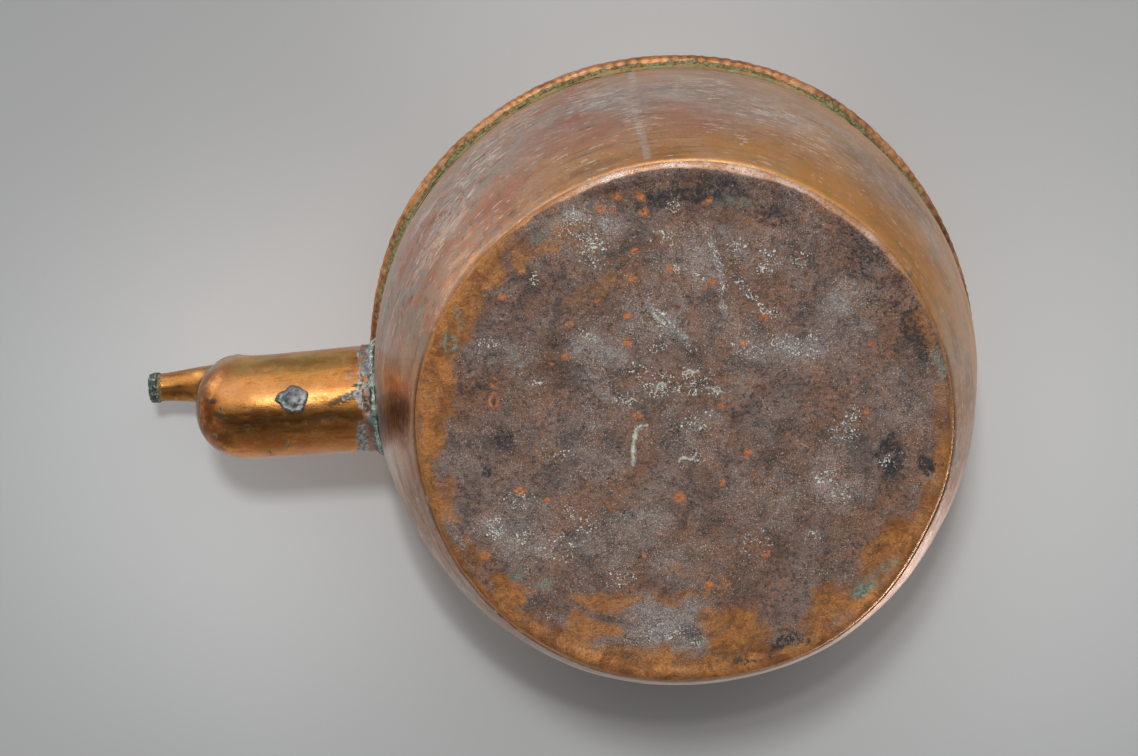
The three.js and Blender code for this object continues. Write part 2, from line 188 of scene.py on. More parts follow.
def straight(points, step):
    """The same with straight stretches."""
    p = np.array(points, float)
    out = []
    for a, b in zip(p[:-1], p[1:]):
        n = max(1, int(round(np.linalg.norm(b - a) / step)))
        out += [a + (b - a) * t for t in np.arange(n) / n]
    out.append(p[-1])
    return np.array(out)


def rounded(points, step, passes=2, closed=True):
    """A polyline with its corners cut, then filled to step: for turned and rolled profiles."""
    p = np.array(points, float)
    for _ in range(passes):
        nxt = np.roll(p, -1, axis=0) if closed else p[1:]
        cur = p if closed else p[:-1]
        q = np.empty((2 * len(cur), p.shape[1]))
        q[0::2] = cur * 0.82 + nxt * 0.18
        q[1::2] = cur * 0.18 + nxt * 0.82
        if not closed:
            q = np.vstack([p[:1], q[1:-1], p[-1:]])
        p = q
    if closed:
        p = straight(np.vstack([p, p[:1]]), step)[:-1]
    else:
        p = straight(p, step)
    return p


def grid_faces(rows, cols, wrap_rows=False, wrap_cols=True):
    """Quads of a grid whose vertex (r, c) has number r * cols + c."""
    r = np.arange(rows if wrap_rows else rows - 1)
    c = np.arange(cols if wrap_cols else cols - 1)
    R, C = np.meshgrid(r, c, indexing="ij")
    R2, C2 = (R + 1) % rows, (C + 1) % cols
    return np.stack([R * cols + C, R * cols + C2, R2 * cols + C2, R2 * cols + C], -1).reshape(-1, 4)


def make(name, co, faces, body, replaces=(), material=None, attributes=None, caps=()):
    """A closed mesh piece from vertices in millimetres. caps are extra faces, lists of vertex numbers."""
    co = np.asarray(co, float)
    quads = np.asarray(faces)
    a, b, c, d = (co[quads[:, k]] for k in range(4))
    volume = np.einsum("ij,ij->i", a, np.cross(b, c)).sum() + np.einsum("ij,ij->i", a, np.cross(c, d)).sum()
    for cap in caps:
        p = co[list(cap)]
        for i in range(1, len(p) - 1):
            volume += p[0] @ np.cross(p[i], p[i + 1])
    listed = quads.tolist() + [list(cap) for cap in caps]
    if volume < 0:
        listed = [f[::-1] for f in listed]
    mesh = bpy.data.meshes.new(name)
    mesh.from_pydata((co * MM).tolist(), [], listed)
    mesh.polygons.foreach_set("use_smooth", np.ones(len(mesh.polygons), bool))
    for key, value in (attributes or {}).items():
        value = np.asarray(value, np.float32)
        if value.ndim == 2:
            mesh.attributes.new(key, "FLOAT_VECTOR", "POINT").data.foreach_set("vector", value.ravel())
        else:
            mesh.attributes.new(key, "FLOAT", "POINT").data.foreach_set("value", value)
    mesh.update()
    obj = bpy.data.objects.new(name, mesh)
    bpy.context.scene.collection.objects.link(obj)
    if material:
        mesh.materials.append(material)
    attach(obj, body)
    if replaces:
        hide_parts(*replaces)
    return obj


def cyl(co):
    """A coordinate that runs round the kettle: x and y on a circle of 100 mm, z the height, in metres."""
    co = np.asarray(co)
    r = np.maximum(np.hypot(co[:, 0], co[:, 1]), 1e-6)
    return np.stack([co[:, 0] / r * 0.1, co[:, 1] / r * 0.1, co[:, 2] * MM + r * 0.0003], 1)


def revolve(profile, segments, move=None):
    """Closed profile of [radius, height] turned about Z. move(theta, r, z, row) gives new r and z."""
    profile = np.asarray(profile, float)
    theta = np.arange(segments) * 2 * np.pi / segments
    r = np.repeat(profile[:, 0], segments)
    z = np.repeat(profile[:, 1], segments)
    t = np.tile(theta, len(profile))
    row = np.repeat(np.arange(len(profile)), segments)
    if move:
        r, z = move(t, r, z, row)
    co = np.stack([r * np.cos(t), r * np.sin(t), z], 1)
    return co, grid_faces(len(profile), segments, wrap_rows=True), t


def turned(profile, segments, axis_origin=(0, 0, 0), axis="Z", bumps=0.0, seed=0, size=3.0):
    """A profile from axis to axis, turned; its ends are closed with small caps."""
    p = np.array(profile, float)
    p[:, 0] = np.maximum(p[:, 0], 0.05)
    theta = np.arange(segments) * 2 * np.pi / segments
    r = np.repeat(p[:, 0], segments)
    h = np.repeat(p[:, 1], segments)
    t = np.tile(theta, len(p))
    co = np.stack([r * np.cos(t), r * np.sin(t), h], 1)
    if bumps:
        n = np.stack([np.cos(t), np.sin(t), np.zeros_like(t)], 1)
        co = co + n * (bumps * fbm(co + 50, size, 3, seed) * np.minimum(r, 1.0))[:, None]
        co[:, 2] += bumps * 0.7 * fbm(co + 90, size, 3, seed + 9)
    if axis == "X":
        co = co[:, [2, 0, 1]]
    co = co + np.array(axis_origin)
    faces = grid_faces(len(p), segments)
    last = (len(p) - 1) * segments
    return co, faces, (list(range(segments))[::-1], list(range(last, last + segments)))


# ------------------------------------------------------------------ material helper


class Shade:
    def __init__(self, name):
        self.mat = bpy.data.materials.new(name)
        self.mat.use_nodes = True
        self.t = self.mat.node_tree
        self.t.nodes.clear()
        self.out = self.t.nodes.new("ShaderNodeOutputMaterial")
        self.bsdf = self.t.nodes.new("ShaderNodeBsdfPrincipled")
        self.t.links.new(self.bsdf.outputs[0], self.out.inputs[0])
        self.coord = self.t.nodes.new("ShaderNodeTexCoord").outputs["Object"]

    def put(self, socket, value):
        if isinstance(value, bpy.types.NodeSocket):
            self.t.links.new(value, socket)
        elif value is not None:
            if hasattr(value, "__len__") and len(value) == 3 and socket.type == "RGBA":
                value = (*value, 1.0)
            socket.default_value = value

    def attr(self, name, kind="Fac"):
        n = self.t.nodes.new("ShaderNodeAttribute")
        n.attribute_type = "GEOMETRY"
        n.attribute_name = name
        return n.outputs[kind]

    def place(self, vec, scale, offset=(0, 0, 0)):
        n = self.t.nodes.new("ShaderNodeMapping")
        self.put(n.inputs["Vector"], vec)
        n.inputs["Scale"].default_value = scale
        n.inputs["Location"].default_value = offset
        return n.outputs[0]

    def noise(self, vec, scale, detail=4.0, rough=0.55, bend=0.0, colour=False):
        n = self.t.nodes.new("ShaderNodeTexNoise")
        self.put(n.inputs["Vector"], vec)
        n.inputs["Scale"].default_value = scale
        n.inputs["Detail"].default_value = detail
        n.inputs["Roughness"].default_value = rough
        n.inputs["Distortion"].default_value = bend
        return n.outputs["Color" if colour else "Fac"]

    def cells(self, vec, scale, feature="F1", out="Distance", randomness=1.0):
        n = self.t.nodes.new("ShaderNodeTexVoronoi")
        n.feature = feature
        self.put(n.inputs["Vector"], vec)
        n.inputs["Scale"].default_value = scale
        n.inputs["Randomness"].default_value = randomness
        return n.outputs[out]

    def span(self, x, a, b, c=0.0, d=1.0):
        n = self.t.nodes.new("ShaderNodeMapRange")
        n.interpolation_type = "SMOOTHSTEP"
        self.put(n.inputs["Value"], x)
        for k, v in (("From Min", a), ("From Max", b), ("To Min", c), ("To Max", d)):
            self.put(n.inputs[k], v)
        return n.outputs["Result"]

    def math(self, op, a, b=None, clamp=False):
        n = self.t.nodes.new("ShaderNodeMath")
        n.operation = op
        n.use_clamp = clamp
        self.put(n.inputs[0], a)
        if b is not None:
            self.put(n.inputs[1], b)
        return n.outputs[0]

    def mul(self, *xs):
        out = xs[0]
        for x in xs[1:]:
            out = self.math("MULTIPLY", out, x)
        return out

    def add(self, *xs):
        out = xs[0]
        for x in xs[1:]:
            out = self.math("ADD", out, x)
        return out

    def add_vector(self, a, b, amount):
        """a plus b moved to the middle and scaled."""
        n = self.t.nodes.new("ShaderNodeVectorMath")
        n.operation = "MULTIPLY_ADD"
        self.put(n.inputs[0], b)
        n.inputs[1].default_value = (amount, amount, amount)
        self.put(n.inputs[2], a)
        return n.outputs[0]

    def split(self, colour):
        n = self.t.nodes.new("ShaderNodeSeparateColor")
        self.put(n.inputs[0], colour)
        return n.outputs[0]

    def mix(self, fac, a, b, mode="MIX"):
        n = self.t.nodes.new("ShaderNodeMix")
        n.data_type = "RGBA"
        n.blend_type = mode
        n.clamp_factor = True
        self.put(n.inputs[0], fac)
        self.put(n.inputs[6], a)
        self.put(n.inputs[7], b)
        return n.outputs[2]

    def bump(self, height, distance, strength=1.0, normal=None):
        n = self.t.nodes.new("ShaderNodeBump")
        n.inputs["Strength"].default_value = strength
        n.inputs["Distance"].default_value = distance
        self.put(n.inputs["Height"], height)
        if normal is not None:
            self.put(n.inputs["Normal"], normal)
        return n.outputs[0]

    def finish(self, colour, rough, metal, normal=None, **constant):
        self.put(self.bsdf.inputs["Base Color"], colour)
        self.put(self.bsdf.inputs["Roughness"], rough)
        self.put(self.bsdf.inputs["Metallic"], metal)
        if normal is not None:
            self.put(self.bsdf.inputs["Normal"], normal)
        for k, v in constant.items():
            self.bsdf.inputs[k].default_value = v
        return self.mat


# ------------------------------------------------------------------ materials


def oxide_material():
    """The bottom: purple-brown oxide with a pale film, limescale crystals, soot, bare copper and green, painted
    highlights along the ridges of its creases and a painted pinkish highlight on the top of its rim.
    """
    s = Shade("base_oxide")
    o = s.coord
    broad = s.noise(o, 38, 7, 0.66, 0.7)
    red = s.noise(s.place(o, (1, 1, 1), (3.1, 1.7, 0.4)), 58, 7, 0.68, 0.5)
    dirt = s.noise(s.place(o, (1, 1, 1), (7.3, 4.1, 2.2)), 105, 8, 0.72, 0.6)
    mid = s.noise(o, 95, 6, 0.62, 0.4)
    fine = s.noise(o, 760, 5, 0.72)
    grain = s.noise(o, 2600, 3, 0.66)
    c = s.mix(s.span(broad, 0.42, 0.60), (0.215, 0.100, 0.054), (0.268, 0.172, 0.142))
    c = s.mix(s.mul(s.span(red, 0.46, 0.62), 0.74), c, (0.350, 0.152, 0.068))
    c = s.mix(s.mul(s.span(dirt, 0.49, 0.62), 0.72), c, (0.046, 0.036, 0.036))
    c = s.mix(s.mul(s.span(dirt, 0.47, 0.32), 0.45), c, (0.340, 0.280, 0.250))
    mottle = s.noise(s.place(o, (1, 1, 1), (1.1, 5.2, 3.8)), 230, 8, 0.78, 0.5)
    c = s.mix(s.mul(s.span(mottle, 0.54, 0.64), 0.34), c, (0.060, 0.044, 0.038))
    c = s.mix(s.mul(s.span(mottle, 0.46, 0.38), 0.20), c, (0.370, 0.280, 0.230))
    c = s.mix(s.mul(s.span(fine, 0.52, 0.59), 0.72), c, (0.040, 0.030, 0.027))
    sand = s.noise(s.place(o, (1, 1, 1), (4.4, 0.9, 6.1)), 1700, 4, 0.80)
    c = s.mix(s.mul(s.span(sand, 0.52, 0.58), 0.40), c, (0.050, 0.036, 0.030))
    c = s.mix(s.mul(s.span(sand, 0.47, 0.41), 0.34), c, (0.450, 0.335, 0.280))
    # the pale film, whose mask also carries painted highlights along two ridges
    haze_and_ridge_highlight = s.mul(s.attr("haze_and_ridge_highlight"), s.span(s.noise(o, 170, 7, 0.72, 0.3), 0.38, 0.62))
    c = s.mix(s.mul(haze_and_ridge_highlight, 0.34), c, (0.440, 0.335, 0.305))
    dots = s.add(0.630, s.mul(s.attr("haze_and_ridge_highlight"), -0.080), s.mul(s.span(mid, 0.35, 0.65), -0.030))
    dots = s.span(grain, dots, s.add(dots, 0.085))
    c = s.mix(s.mul(dots, 0.62), c, (0.560, 0.520, 0.480))
    speck = None
    for size, off, more in ((2500, 3.3, 0.12), (1500, 8.1, 0.0)):
        at = s.place(o, (1, 1, 1), (off, 0, 0))
        lot = s.split(s.cells(at, size, "F1", "Color"))
        on = s.span(s.add(lot, s.mul(s.attr("haze_and_ridge_highlight"), 0.24 + more), s.mul(s.attr("veil_and_ridge_highlight"), 0.08), s.mul(s.span(dirt, 0.54, 0.38), 0.06 + more)), 1.01, 1.05)
        one = s.mul(s.span(s.cells(at, size), 0.42, 0.26), on)
        speck = one if speck is None else s.math("MAXIMUM", speck, one)
    c = s.mix(s.mul(speck, 0.75), c, (0.640, 0.600, 0.550))
    # the whitish veil, whose mask also carries painted highlights along the ridges
    veil_and_ridge_highlight = s.mul(s.attr("veil_and_ridge_highlight"), s.span(s.noise(o, 420, 9, 0.86, 0.6), 0.44, 0.60))
    veil_and_ridge_highlight = s.mul(veil_and_ridge_highlight, s.span(sand, 0.60, 0.42, 0.35, 1.25))
    c = s.mix(s.mul(veil_and_ridge_highlight, 0.66), c, (0.520, 0.525, 0.545))
    orange = s.span(s.add(s.attr("orange"), s.mul(s.math("SUBTRACT", s.noise(o, 150, 9, 0.80, 0.5), 0.5), 1.7)), 0.16, 1.00)
    orange = s.mul(orange, s.span(s.attr("orange"), 0.02, 0.22))
    rust = s.mix(s.span(s.noise(o, 95, 8, 0.74, 0.8), 0.38, 0.60), (0.300, 0.105, 0.026), (0.680, 0.270, 0.066))
    rust = s.mix(s.mul(s.span(s.noise(o, 800, 6, 0.82, 0.3), 0.50, 0.58), 0.55), rust, (0.120, 0.055, 0.024))
    rust = s.mix(s.mul(s.span(s.noise(s.place(o, (1, 1, 1), (9, 2, 4)), 120, 7, 0.74), 0.54, 0.64), 0.36), rust, (0.230, 0.180, 0.085))
    c = s.mix(s.mul(orange, 0.90), c, rust)
    c = s.mix(s.mul(orange, dots, 0.5), c, (0.66, 0.50, 0.36))
    soot = s.attr("soot")
    black = s.span(s.add(s.noise(o, 640, 8, 0.84, 0.5), s.mul(soot, 0.16)), 0.585, 0.66)
    black = s.math("MAXIMUM", s.mul(black, s.span(soot, 0.03, 0.40)), s.mul(soot, s.span(dirt, 0.35, 0.6), 0.50))
    c = s.mix(s.mul(black, 0.90), c, (0.020, 0.020, 0.023))
    green = s.mul(s.attr("green"), s.span(s.noise(o, 330, 5, 0.75), 0.40, 0.54))
    c = s.mix(s.mul(green, 0.85), c, s.mix(s.span(fine, 0.4, 0.6), (0.110, 0.150, 0.085), (0.330, 0.430, 0.350)))
    spot = s.mul(s.attr("spot"), s.span(s.noise(o, 1000, 5, 0.75), 0.38, 0.52), 0.90)
    c = s.mix(spot, c, s.mix(s.span(fine, 0.44, 0.58), (0.780, 0.265, 0.072), (0.480, 0.150, 0.048)))
    # round white crystals of two sizes and short bent threads; their mask also carries painted highlights along the
    # ridges
    lime_and_ridge_highlight = s.attr("lime_and_ridge_highlight")
    bent = s.add_vector(o, s.noise(o, 700, 2, 0.5, 0.0, True), 0.0011)
    white = None
    for size, reach, share, offset in ((1000, 0.36, 0.34, 0.0), (600, 0.30, 0.30, 2.7), (1500, 0.42, 0.28, 5.3)):
        at = s.place(bent, (1, 1, 1), (offset, 0, 0))
        radius = s.cells(at, size)
        lot = s.split(s.cells(at, size, "F1", "Color"))
        on = s.span(s.add(lot, s.mul(lime_and_ridge_highlight, share)), 0.985, 1.0)
        one = s.mul(s.span(radius, reach, reach - 0.12), on)
        white = one if white is None else s.math("MAXIMUM", white, one)
    thread = s.math("ABSOLUTE", s.math("SUBTRACT", s.noise(s.place(o, (1, 1, 1), (1.3, 0.2, 0)), 330, 1.5, 0.5, 0.8), 0.5))
    thread = s.mul(s.span(thread, 0.024, 0.010), s.span(s.add(s.noise(o, 520, 2, 0.5), s.mul(lime_and_ridge_highlight, 0.24)), 0.66, 0.70))
    white = s.mul(s.math("MAXIMUM", white, thread), s.span(lime_and_ridge_highlight, 0.02, 0.20))
    c = s.mix(white, c, s.mix(s.span(s.noise(o, 1500, 2, 0.6), 0.4, 0.6), (0.96, 0.94, 0.84), (0.74, 0.72, 0.65)))
    worm = s.mul(s.attr("worm"), s.span(s.noise(o, 900, 3, 0.7), 0.30, 0.48))
    c = s.mix(worm, c, s.mix(s.span(grain, 0.4, 0.6), (0.82, 0.80, 0.68), (0.60, 0.57, 0.47)))
    white = s.math("MAXIMUM", white, worm)
    lip = s.attr("lip")
    worn = s.mul(lip, s.span(s.noise(o, 300, 6, 0.72), 0.28, 0.44))
    # painted highlight: pinkish white on the top of the rim's worn lip
    painted_rim_highlight = s.mul(s.attr("painted_rim_highlight"), s.span(fine, 0.34, 0.50))
    c = s.mix(s.mul(worn, 0.92), c, s.mix(s.span(mid, 0.38, 0.62), (0.66, 0.31, 0.12), (0.50, 0.21, 0.07)))
    c = s.mix(s.mul(worn, painted_rim_highlight), c, s.mix(s.span(mid, 0.40, 0.60), (0.95, 0.76, 0.66), (0.80, 0.47, 0.31)))
    metal = s.add(0.26, s.mul(orange, 0.34), s.mul(worn, 0.68))
    metal = s.mul(metal, s.math("SUBTRACT", 1.0, s.math("MAXIMUM", white, black, clamp=True)))
    rough = s.span(fine, 0.3, 0.7, 0.46, 0.66)
    rough = s.math("SUBTRACT", rough, s.add(s.mul(worn, 0.24), s.mul(orange, 0.08)))
    rough = s.add(rough, s.mul(white, 0.2), s.mul(black, 0.2))
    n = s.bump(dirt, 0.0016, 0.45)
    n = s.bump(fine, 0.00055, 0.7, n)
    n = s.bump(grain, 0.00020, 0.6, n)
    n = s.bump(white, 0.00045, 0.9, n)
    return s.finish(c, rough, metal, n)


def copper_material(
    name,
    coord="cyl",
    stretch=(1, 1, 22),
    clean=(0.78, 0.42, 0.22),
    warm=(0.74, 0.36, 0.13),
    pale=(0.62, 0.53, 0.49),
    dark=(0.17, 0.068, 0.030),
    red=(0.56, 0.21, 0.11),
    paleness=0.5,
    darkness=0.35,
    redness=0.4,
    rough=(0.34, 0.52),
    marks=(),
    hammered=0.0,
    brushed=1.0,
    verd=((0.092, 0.084, 0.036), (0.250, 0.265, 0.160)),
):
    """Aged sheet copper with brushing along one direction. marks are the vertex masks that the mesh carries."""
    s = Shade(name)
    o = s.coord
    v = s.attr(coord, "Vector") if coord else o
    broad = s.noise(o, 17, 5, 0.6, 0.3)
    cloud = s.noise(o, 62, 7, 0.68, 0.5)
    blush = s.noise(s.place(o, (1, 1, 1), (5.1, 2.3, 1.9)), 34, 7, 0.70, 0.6)
    streak = s.noise(s.place(v, stretch), 46, 7, 0.70)
    lines = s.noise(s.place(v, tuple(3.0 * q for q in stretch)), 90, 3, 0.6)
    fine = s.noise(o, 1500, 3, 0.65)
    c = s.mix(s.span(broad, 0.36, 0.64), clean, warm)
    c = s.mix(s.mul(s.span(blush, 0.50, 0.64), redness), c, red)
    film = s.add(0.30, s.mul(s.span(cloud, 0.38, 0.62), 0.50), s.mul(s.span(streak, 0.40, 0.60), 0.45))
    has_pale = "pale" in marks
    amount = s.add(paleness * 0.55, s.mul(s.attr("pale"), 0.95)) if has_pale else paleness
    c = s.mix(s.math("MULTIPLY", film, amount, clamp=True), c, pale)
    if has_pale:
        sea = s.noise(s.place(o, (1, 1, 1), (2.2, 6.1, 3.3)), 48, 7, 0.72, 0.7)
        c = s.mix(s.mul(s.span(sea, 0.54, 0.66), s.attr("pale"), 0.45), c, (0.43, 0.45, 0.41))
        c = s.mix(s.mul(s.span(sea, 0.46, 0.38), 0.55), c, (0.72, 0.33, 0.135))
    brown = s.mul(s.span(streak, 0.52, 0.34), s.span(cloud, 0.60, 0.42))
    c = s.mix(s.mul(brown, darkness * 1.6), c, dark)
    c = s.mix(s.mul(s.span(lines, 0.50, 0.64), 0.22 * brushed), c, tuple(min(1.0, q * 1.15 + 0.05) for q in pale))
    c = s.mix(s.mul(s.span(lines, 0.48, 0.36), 0.34 * brushed), c, tuple(q * 1.6 for q in dark))
    c = s.mix(s.mul(s.span(fine, 0.56, 0.68), 0.45), c, dark)
    metal, r = 1.0, s.span(streak, 0.36, 0.64, rough[0], rough[1])
    r = s.add(r, s.mul(s.span(cloud, 0.4, 0.7), 0.06))
    off = None
    if "gold" in marks:
        c = s.mix(s.mul(s.attr("gold"), s.span(cloud, 0.28, 0.52), 0.88), c, (0.70, 0.31, 0.075))
        c = s.mix(s.mul(s.attr("gold"), s.span(s.noise(o, 140, 6, 0.7, 0.8), 0.50, 0.62), 0.60), c, (0.46, 0.31, 0.085))
    if "grey" in marks:
        # painted sheen: the low wall towards -Y and -X turned pale grey
        g = s.mul(s.attr("painted_sheen"), s.span(s.noise(s.place(v, (1, 1, 5)), 120, 6, 0.7), 0.26, 0.50))
        c = s.mix(s.mul(g, 0.80), c, s.mix(s.span(s.noise(o, 260, 7, 0.78), 0.40, 0.60), (0.60, 0.51, 0.455), (0.44, 0.385, 0.355)))
        g = s.mul(s.attr("grey"), s.span(s.noise(o, 75, 7, 0.72, 0.5), 0.24, 0.50))
        c = s.mix(s.mul(g, 0.80), c, s.mix(s.span(s.noise(o, 320, 6, 0.75), 0.42, 0.58), (0.60, 0.500, 0.440), (0.77, 0.665, 0.605)))
        r = s.add(r, s.mul(g, 0.05))
        # painted shade: darker patches, heaviest on the wall's left, top and lower right
        d = s.mul(s.attr("painted_shade"), s.span(s.noise(s.place(v, (1, 1, 2)), 52, 8, 0.76, 0.6), 0.38, 0.50))
        c = s.mix(s.mul(d, 0.80), c, s.mix(s.span(s.noise(o, 120, 7, 0.76, 0.5), 0.44, 0.56), (0.300, 0.270, 0.225), (0.42, 0.185, 0.105)))
        d = s.mul(s.attr("painted_shade"), s.span(s.noise(s.place(o, (1, 1, 1), (8, 3, 5)), 190, 8, 0.80, 0.5), 0.53, 0.62))
        c = s.mix(s.mul(d, 0.60), c, (0.150, 0.100, 0.070))
    if "olive" in marks:
        c = s.mix(s.mul(s.attr("olive"), s.span(s.noise(o, 150, 6, 0.68, 0.6), 0.34, 0.58), 0.80), c, (0.58, 0.415, 0.15))
    if "red" in marks:
        c = s.mix(s.mul(s.attr("red"), s.span(s.noise(o, 90, 7, 0.72, 0.4), 0.32, 0.56), 0.85), c, red)
    if "worn" in marks:
        w = s.mul(s.attr("worn"), s.span(s.noise(o, 260, 6, 0.7), 0.34, 0.50))
        c = s.mix(w, c, s.mix(s.span(cloud, 0.4, 0.6), (0.70, 0.33, 0.13), (0.80, 0.48, 0.28)))
        r = s.math("SUBTRACT", r, s.mul(w, 0.12))
    if "polish" in marks:
        r = s.math("SUBTRACT", r, s.mul(s.attr("polish"), 0.22))
    # a stain, in part a painted dark reflection
    if "stain_and_painted_reflection" in marks:
        b = s.mul(s.attr("stain_and_painted_reflection"), s.span(s.noise(o, 150, 6, 0.66), 0.16, 0.46))
        c = s.mix(s.mul(b, 0.85), c, (0.058, 0.070, 0.016))
        r = s.add(r, s.mul(b, 0.12))
    if "brown" in marks:
        b = s.mul(s.attr("brown"), s.span(s.noise(o, 230, 6, 0.70), 0.30, 0.52))
        c = s.mix(b, c, dark)
        r = s.add(r, s.mul(b, 0.08))
    if "grime" in marks:
        g = s.mul(s.attr("grime"), s.span(s.noise(o, 330, 5, 0.7), 0.34, 0.50))
        c = s.mix(s.mul(g, 0.92), c, (0.024, 0.024, 0.016))
        off = g
    if "scratch" in marks:
        k = s.noise(s.place(v, tuple((4.6 if q == max(stretch) else 1.0) for q in stretch)), 230, 1.0, 0.4, 0.2)
        k = s.span(s.add(k, s.mul(s.attr("scratch"), 0.14)), 0.695, 0.745)
        wide = s.noise(s.place(v, tuple((1.6 if q == max(stretch) else 1.0) for q in stretch), (3.3, 1.2, 0.7)), 125, 2.0, 0.5, 0.5)
        wide = s.mul(s.span(s.add(wide, s.mul(s.attr("scratch"), 0.12)), 0.745, 0.775), s.span(s.attr("scratch"), 0.3, 0.6))
        k = s.math("MAXIMUM", k, s.mul(wide, 0.9))
        c = s.mix(s.mul(k, s.span(fine, 0.30, 0.55), 0.68), c, (0.82, 0.70, 0.60))
        r = s.add(r, s.mul(k, 0.1))
    if "tin" in marks:
        t = s.attr("tin")
        t = s.span(s.add(t, s.mul(s.math("SUBTRACT", s.noise(o, 520, 6, 0.78), 0.5), 0.75)), 0.42, 0.60)
        c = s.mix(s.mul(t, 0.92), c, s.mix(s.span(s.noise(o, 900, 4, 0.7), 0.40, 0.60), (0.105, 0.115, 0.115), (0.52, 0.52, 0.50)))
        metal = s.math("SUBTRACT", 1.0, s.mul(t, 0.45))
        r = s.add(r, s.mul(t, 0.16))
    if "green" in marks:
        g = s.attr("green")
        g = s.span(s.add(g, s.mul(s.math("SUBTRACT", s.noise(o, 380, 6, 0.76), 0.5), 1.3)), 0.44, 0.60)
        crust = s.mix(s.span(s.noise(o, 900, 4, 0.7), 0.42, 0.60), *verd)
        c = s.mix(s.mul(g, 0.90), c, crust)
        off = g if off is None else s.math("MAXIMUM", off, g)
    if off is not None:
        metal = s.math("SUBTRACT", metal, s.mul(off, 0.92), clamp=True)
        r = s.add(r, s.mul(off, 0.28))
    n = s.bump(lines, 0.00007, 0.6 * brushed)
    n = s.bump(cloud, 0.0012, 0.35 * brushed, n)
    n = s.bump(fine, 0.00006, 0.7, n)
    if hammered:
        n = s.bump(s.cells(o, 150, "SMOOTH_F1"), 0.0012, hammered, n)
    if off is not None:
        n = s.bump(off, 0.00030, 0.7, n)
    return s.finish(c, r, metal, n)


def solder_material(
    name, crust=0.5, light=(0.44, 0.46, 0.45), deep=(0.085, 0.092, 0.092), chalk=(0.56, 0.62, 0.55), moss=(0.150, 0.210, 0.160)
):
    """Old lead solder: dull grey, with green and white crust in the hollows."""
    s = Shade(name)
    o = s.coord
    mid = s.noise(o, 170, 6, 0.66, 0.5)
    fine = s.noise(o, 900, 4, 0.66)
    c = s.mix(s.span(mid, 0.34, 0.66), deep, light)
    c = s.mix(s.mul(s.span(fine, 0.52, 0.70), 0.6), c, (0.60, 0.62, 0.60))
    c = s.mix(s.mul(s.span(fine, 0.48, 0.32), 0.6), c, (0.035, 0.038, 0.036))
    g = s.span(s.add(s.noise(o, 300, 6, 0.74, 0.6), s.mul(s.attr("crust"), 0.42)), 0.70, 0.82)
    g = s.mul(g, crust)
    c = s.mix(g, c, s.mix(s.span(s.noise(o, 420, 6, 0.74, 0.8), 0.42, 0.60), moss, chalk))
    crack = s.math("ABSOLUTE", s.math("SUBTRACT", s.noise(s.place(o, (1, 1, 0.45)), 260, 3, 0.6, 0.8), 0.5))
    c = s.mix(s.mul(s.span(crack, 0.022, 0.008), s.attr("crust"), 0.9), c, (0.020, 0.022, 0.018))
    thin = s.attr("thin")
    copper = s.span(s.add(s.noise(o, 360, 6, 0.78, 0.4), s.mul(thin, 0.13)), 0.59, 0.66)
    copper = s.mul(copper, s.add(0.30, s.mul(thin, 0.62)))
    c = s.mix(copper, c, (0.50, 0.205, 0.075))
    metal = s.math("SUBTRACT", 0.85, s.mul(g, 0.8))
    rough = s.add(s.span(fine, 0.3, 0.7, 0.36, 0.55), s.mul(g, 0.25))
    n = s.bump(mid, 0.0010, 0.5)
    n = s.bump(fine, 0.00025, 0.7, n)
    return s.finish(c, rough, metal, n)


def verdigris_material():
    """The mouth of the spout: dark green-black crust over copper."""
    s = Shade("dark_verdigris")
    o = s.coord
    mid = s.noise(o, 260, 5, 0.66, 0.6)
    fine = s.noise(o, 1100, 4, 0.66)
    c = s.mix(s.span(mid, 0.36, 0.60), (0.016, 0.024, 0.020), (0.085, 0.110, 0.090))
    c = s.mix(s.mul(s.span(fine, 0.50, 0.60), s.span(s.noise(o, 420, 3, 0.6), 0.46, 0.56), 0.95), c, (0.56, 0.60, 0.53))
    c = s.mix(s.mul(s.span(mid, 0.60, 0.72), 0.9), c, (0.36, 0.15, 0.06))
    rough = s.span(fine, 0.3, 0.7, 0.42, 0.75)
    metal = s.span(mid, 0.55, 0.72, 0.15, 0.9)
    n = s.bump(mid, 0.0009, 0.6)
    n = s.bump(fine, 0.0003, 0.7, n)
    return s.finish(c, rough, metal, n)


def brass_material():
    """The turned knob: dull yellow-brown brass with fine turning lines and dark grime in its hollows."""
    s = Shade("knob_brass")
    o = s.coord
    lines = s.noise(s.place(o, (1, 1, 40)), 60, 4, 0.6)
    mid = s.noise(o, 120, 6, 0.65, 0.5)
    fine = s.noise(o, 1300, 3, 0.6)
    c = s.mix(s.span(mid, 0.35, 0.65), (0.66, 0.43, 0.17), (0.47, 0.27, 0.10))
    c = s.mix(s.mul(s.span(lines, 0.50, 0.68), 0.4), c, (0.80, 0.60, 0.32))
    grime = s.mul(s.attr("grime"), s.span(s.noise(o, 420, 4, 0.7), 0.30, 0.58))
    c = s.mix(s.mul(grime, 0.85), c, (0.060, 0.045, 0.022))
    c = s.mix(s.mul(s.span(fine, 0.60, 0.74), 0.5), c, (0.12, 0.07, 0.03))
    rough = s.add(s.span(lines, 0.3, 0.7, 0.22, 0.40), s.mul(grime, 0.3))
    metal = s.math("SUBTRACT", 1.0, s.mul(grime, 0.75))
    n = s.bump(lines, 0.00008, 0.6)
    n = s.bump(mid, 0.0007, 0.3, n)
    return s.finish(c, rough, metal, n)


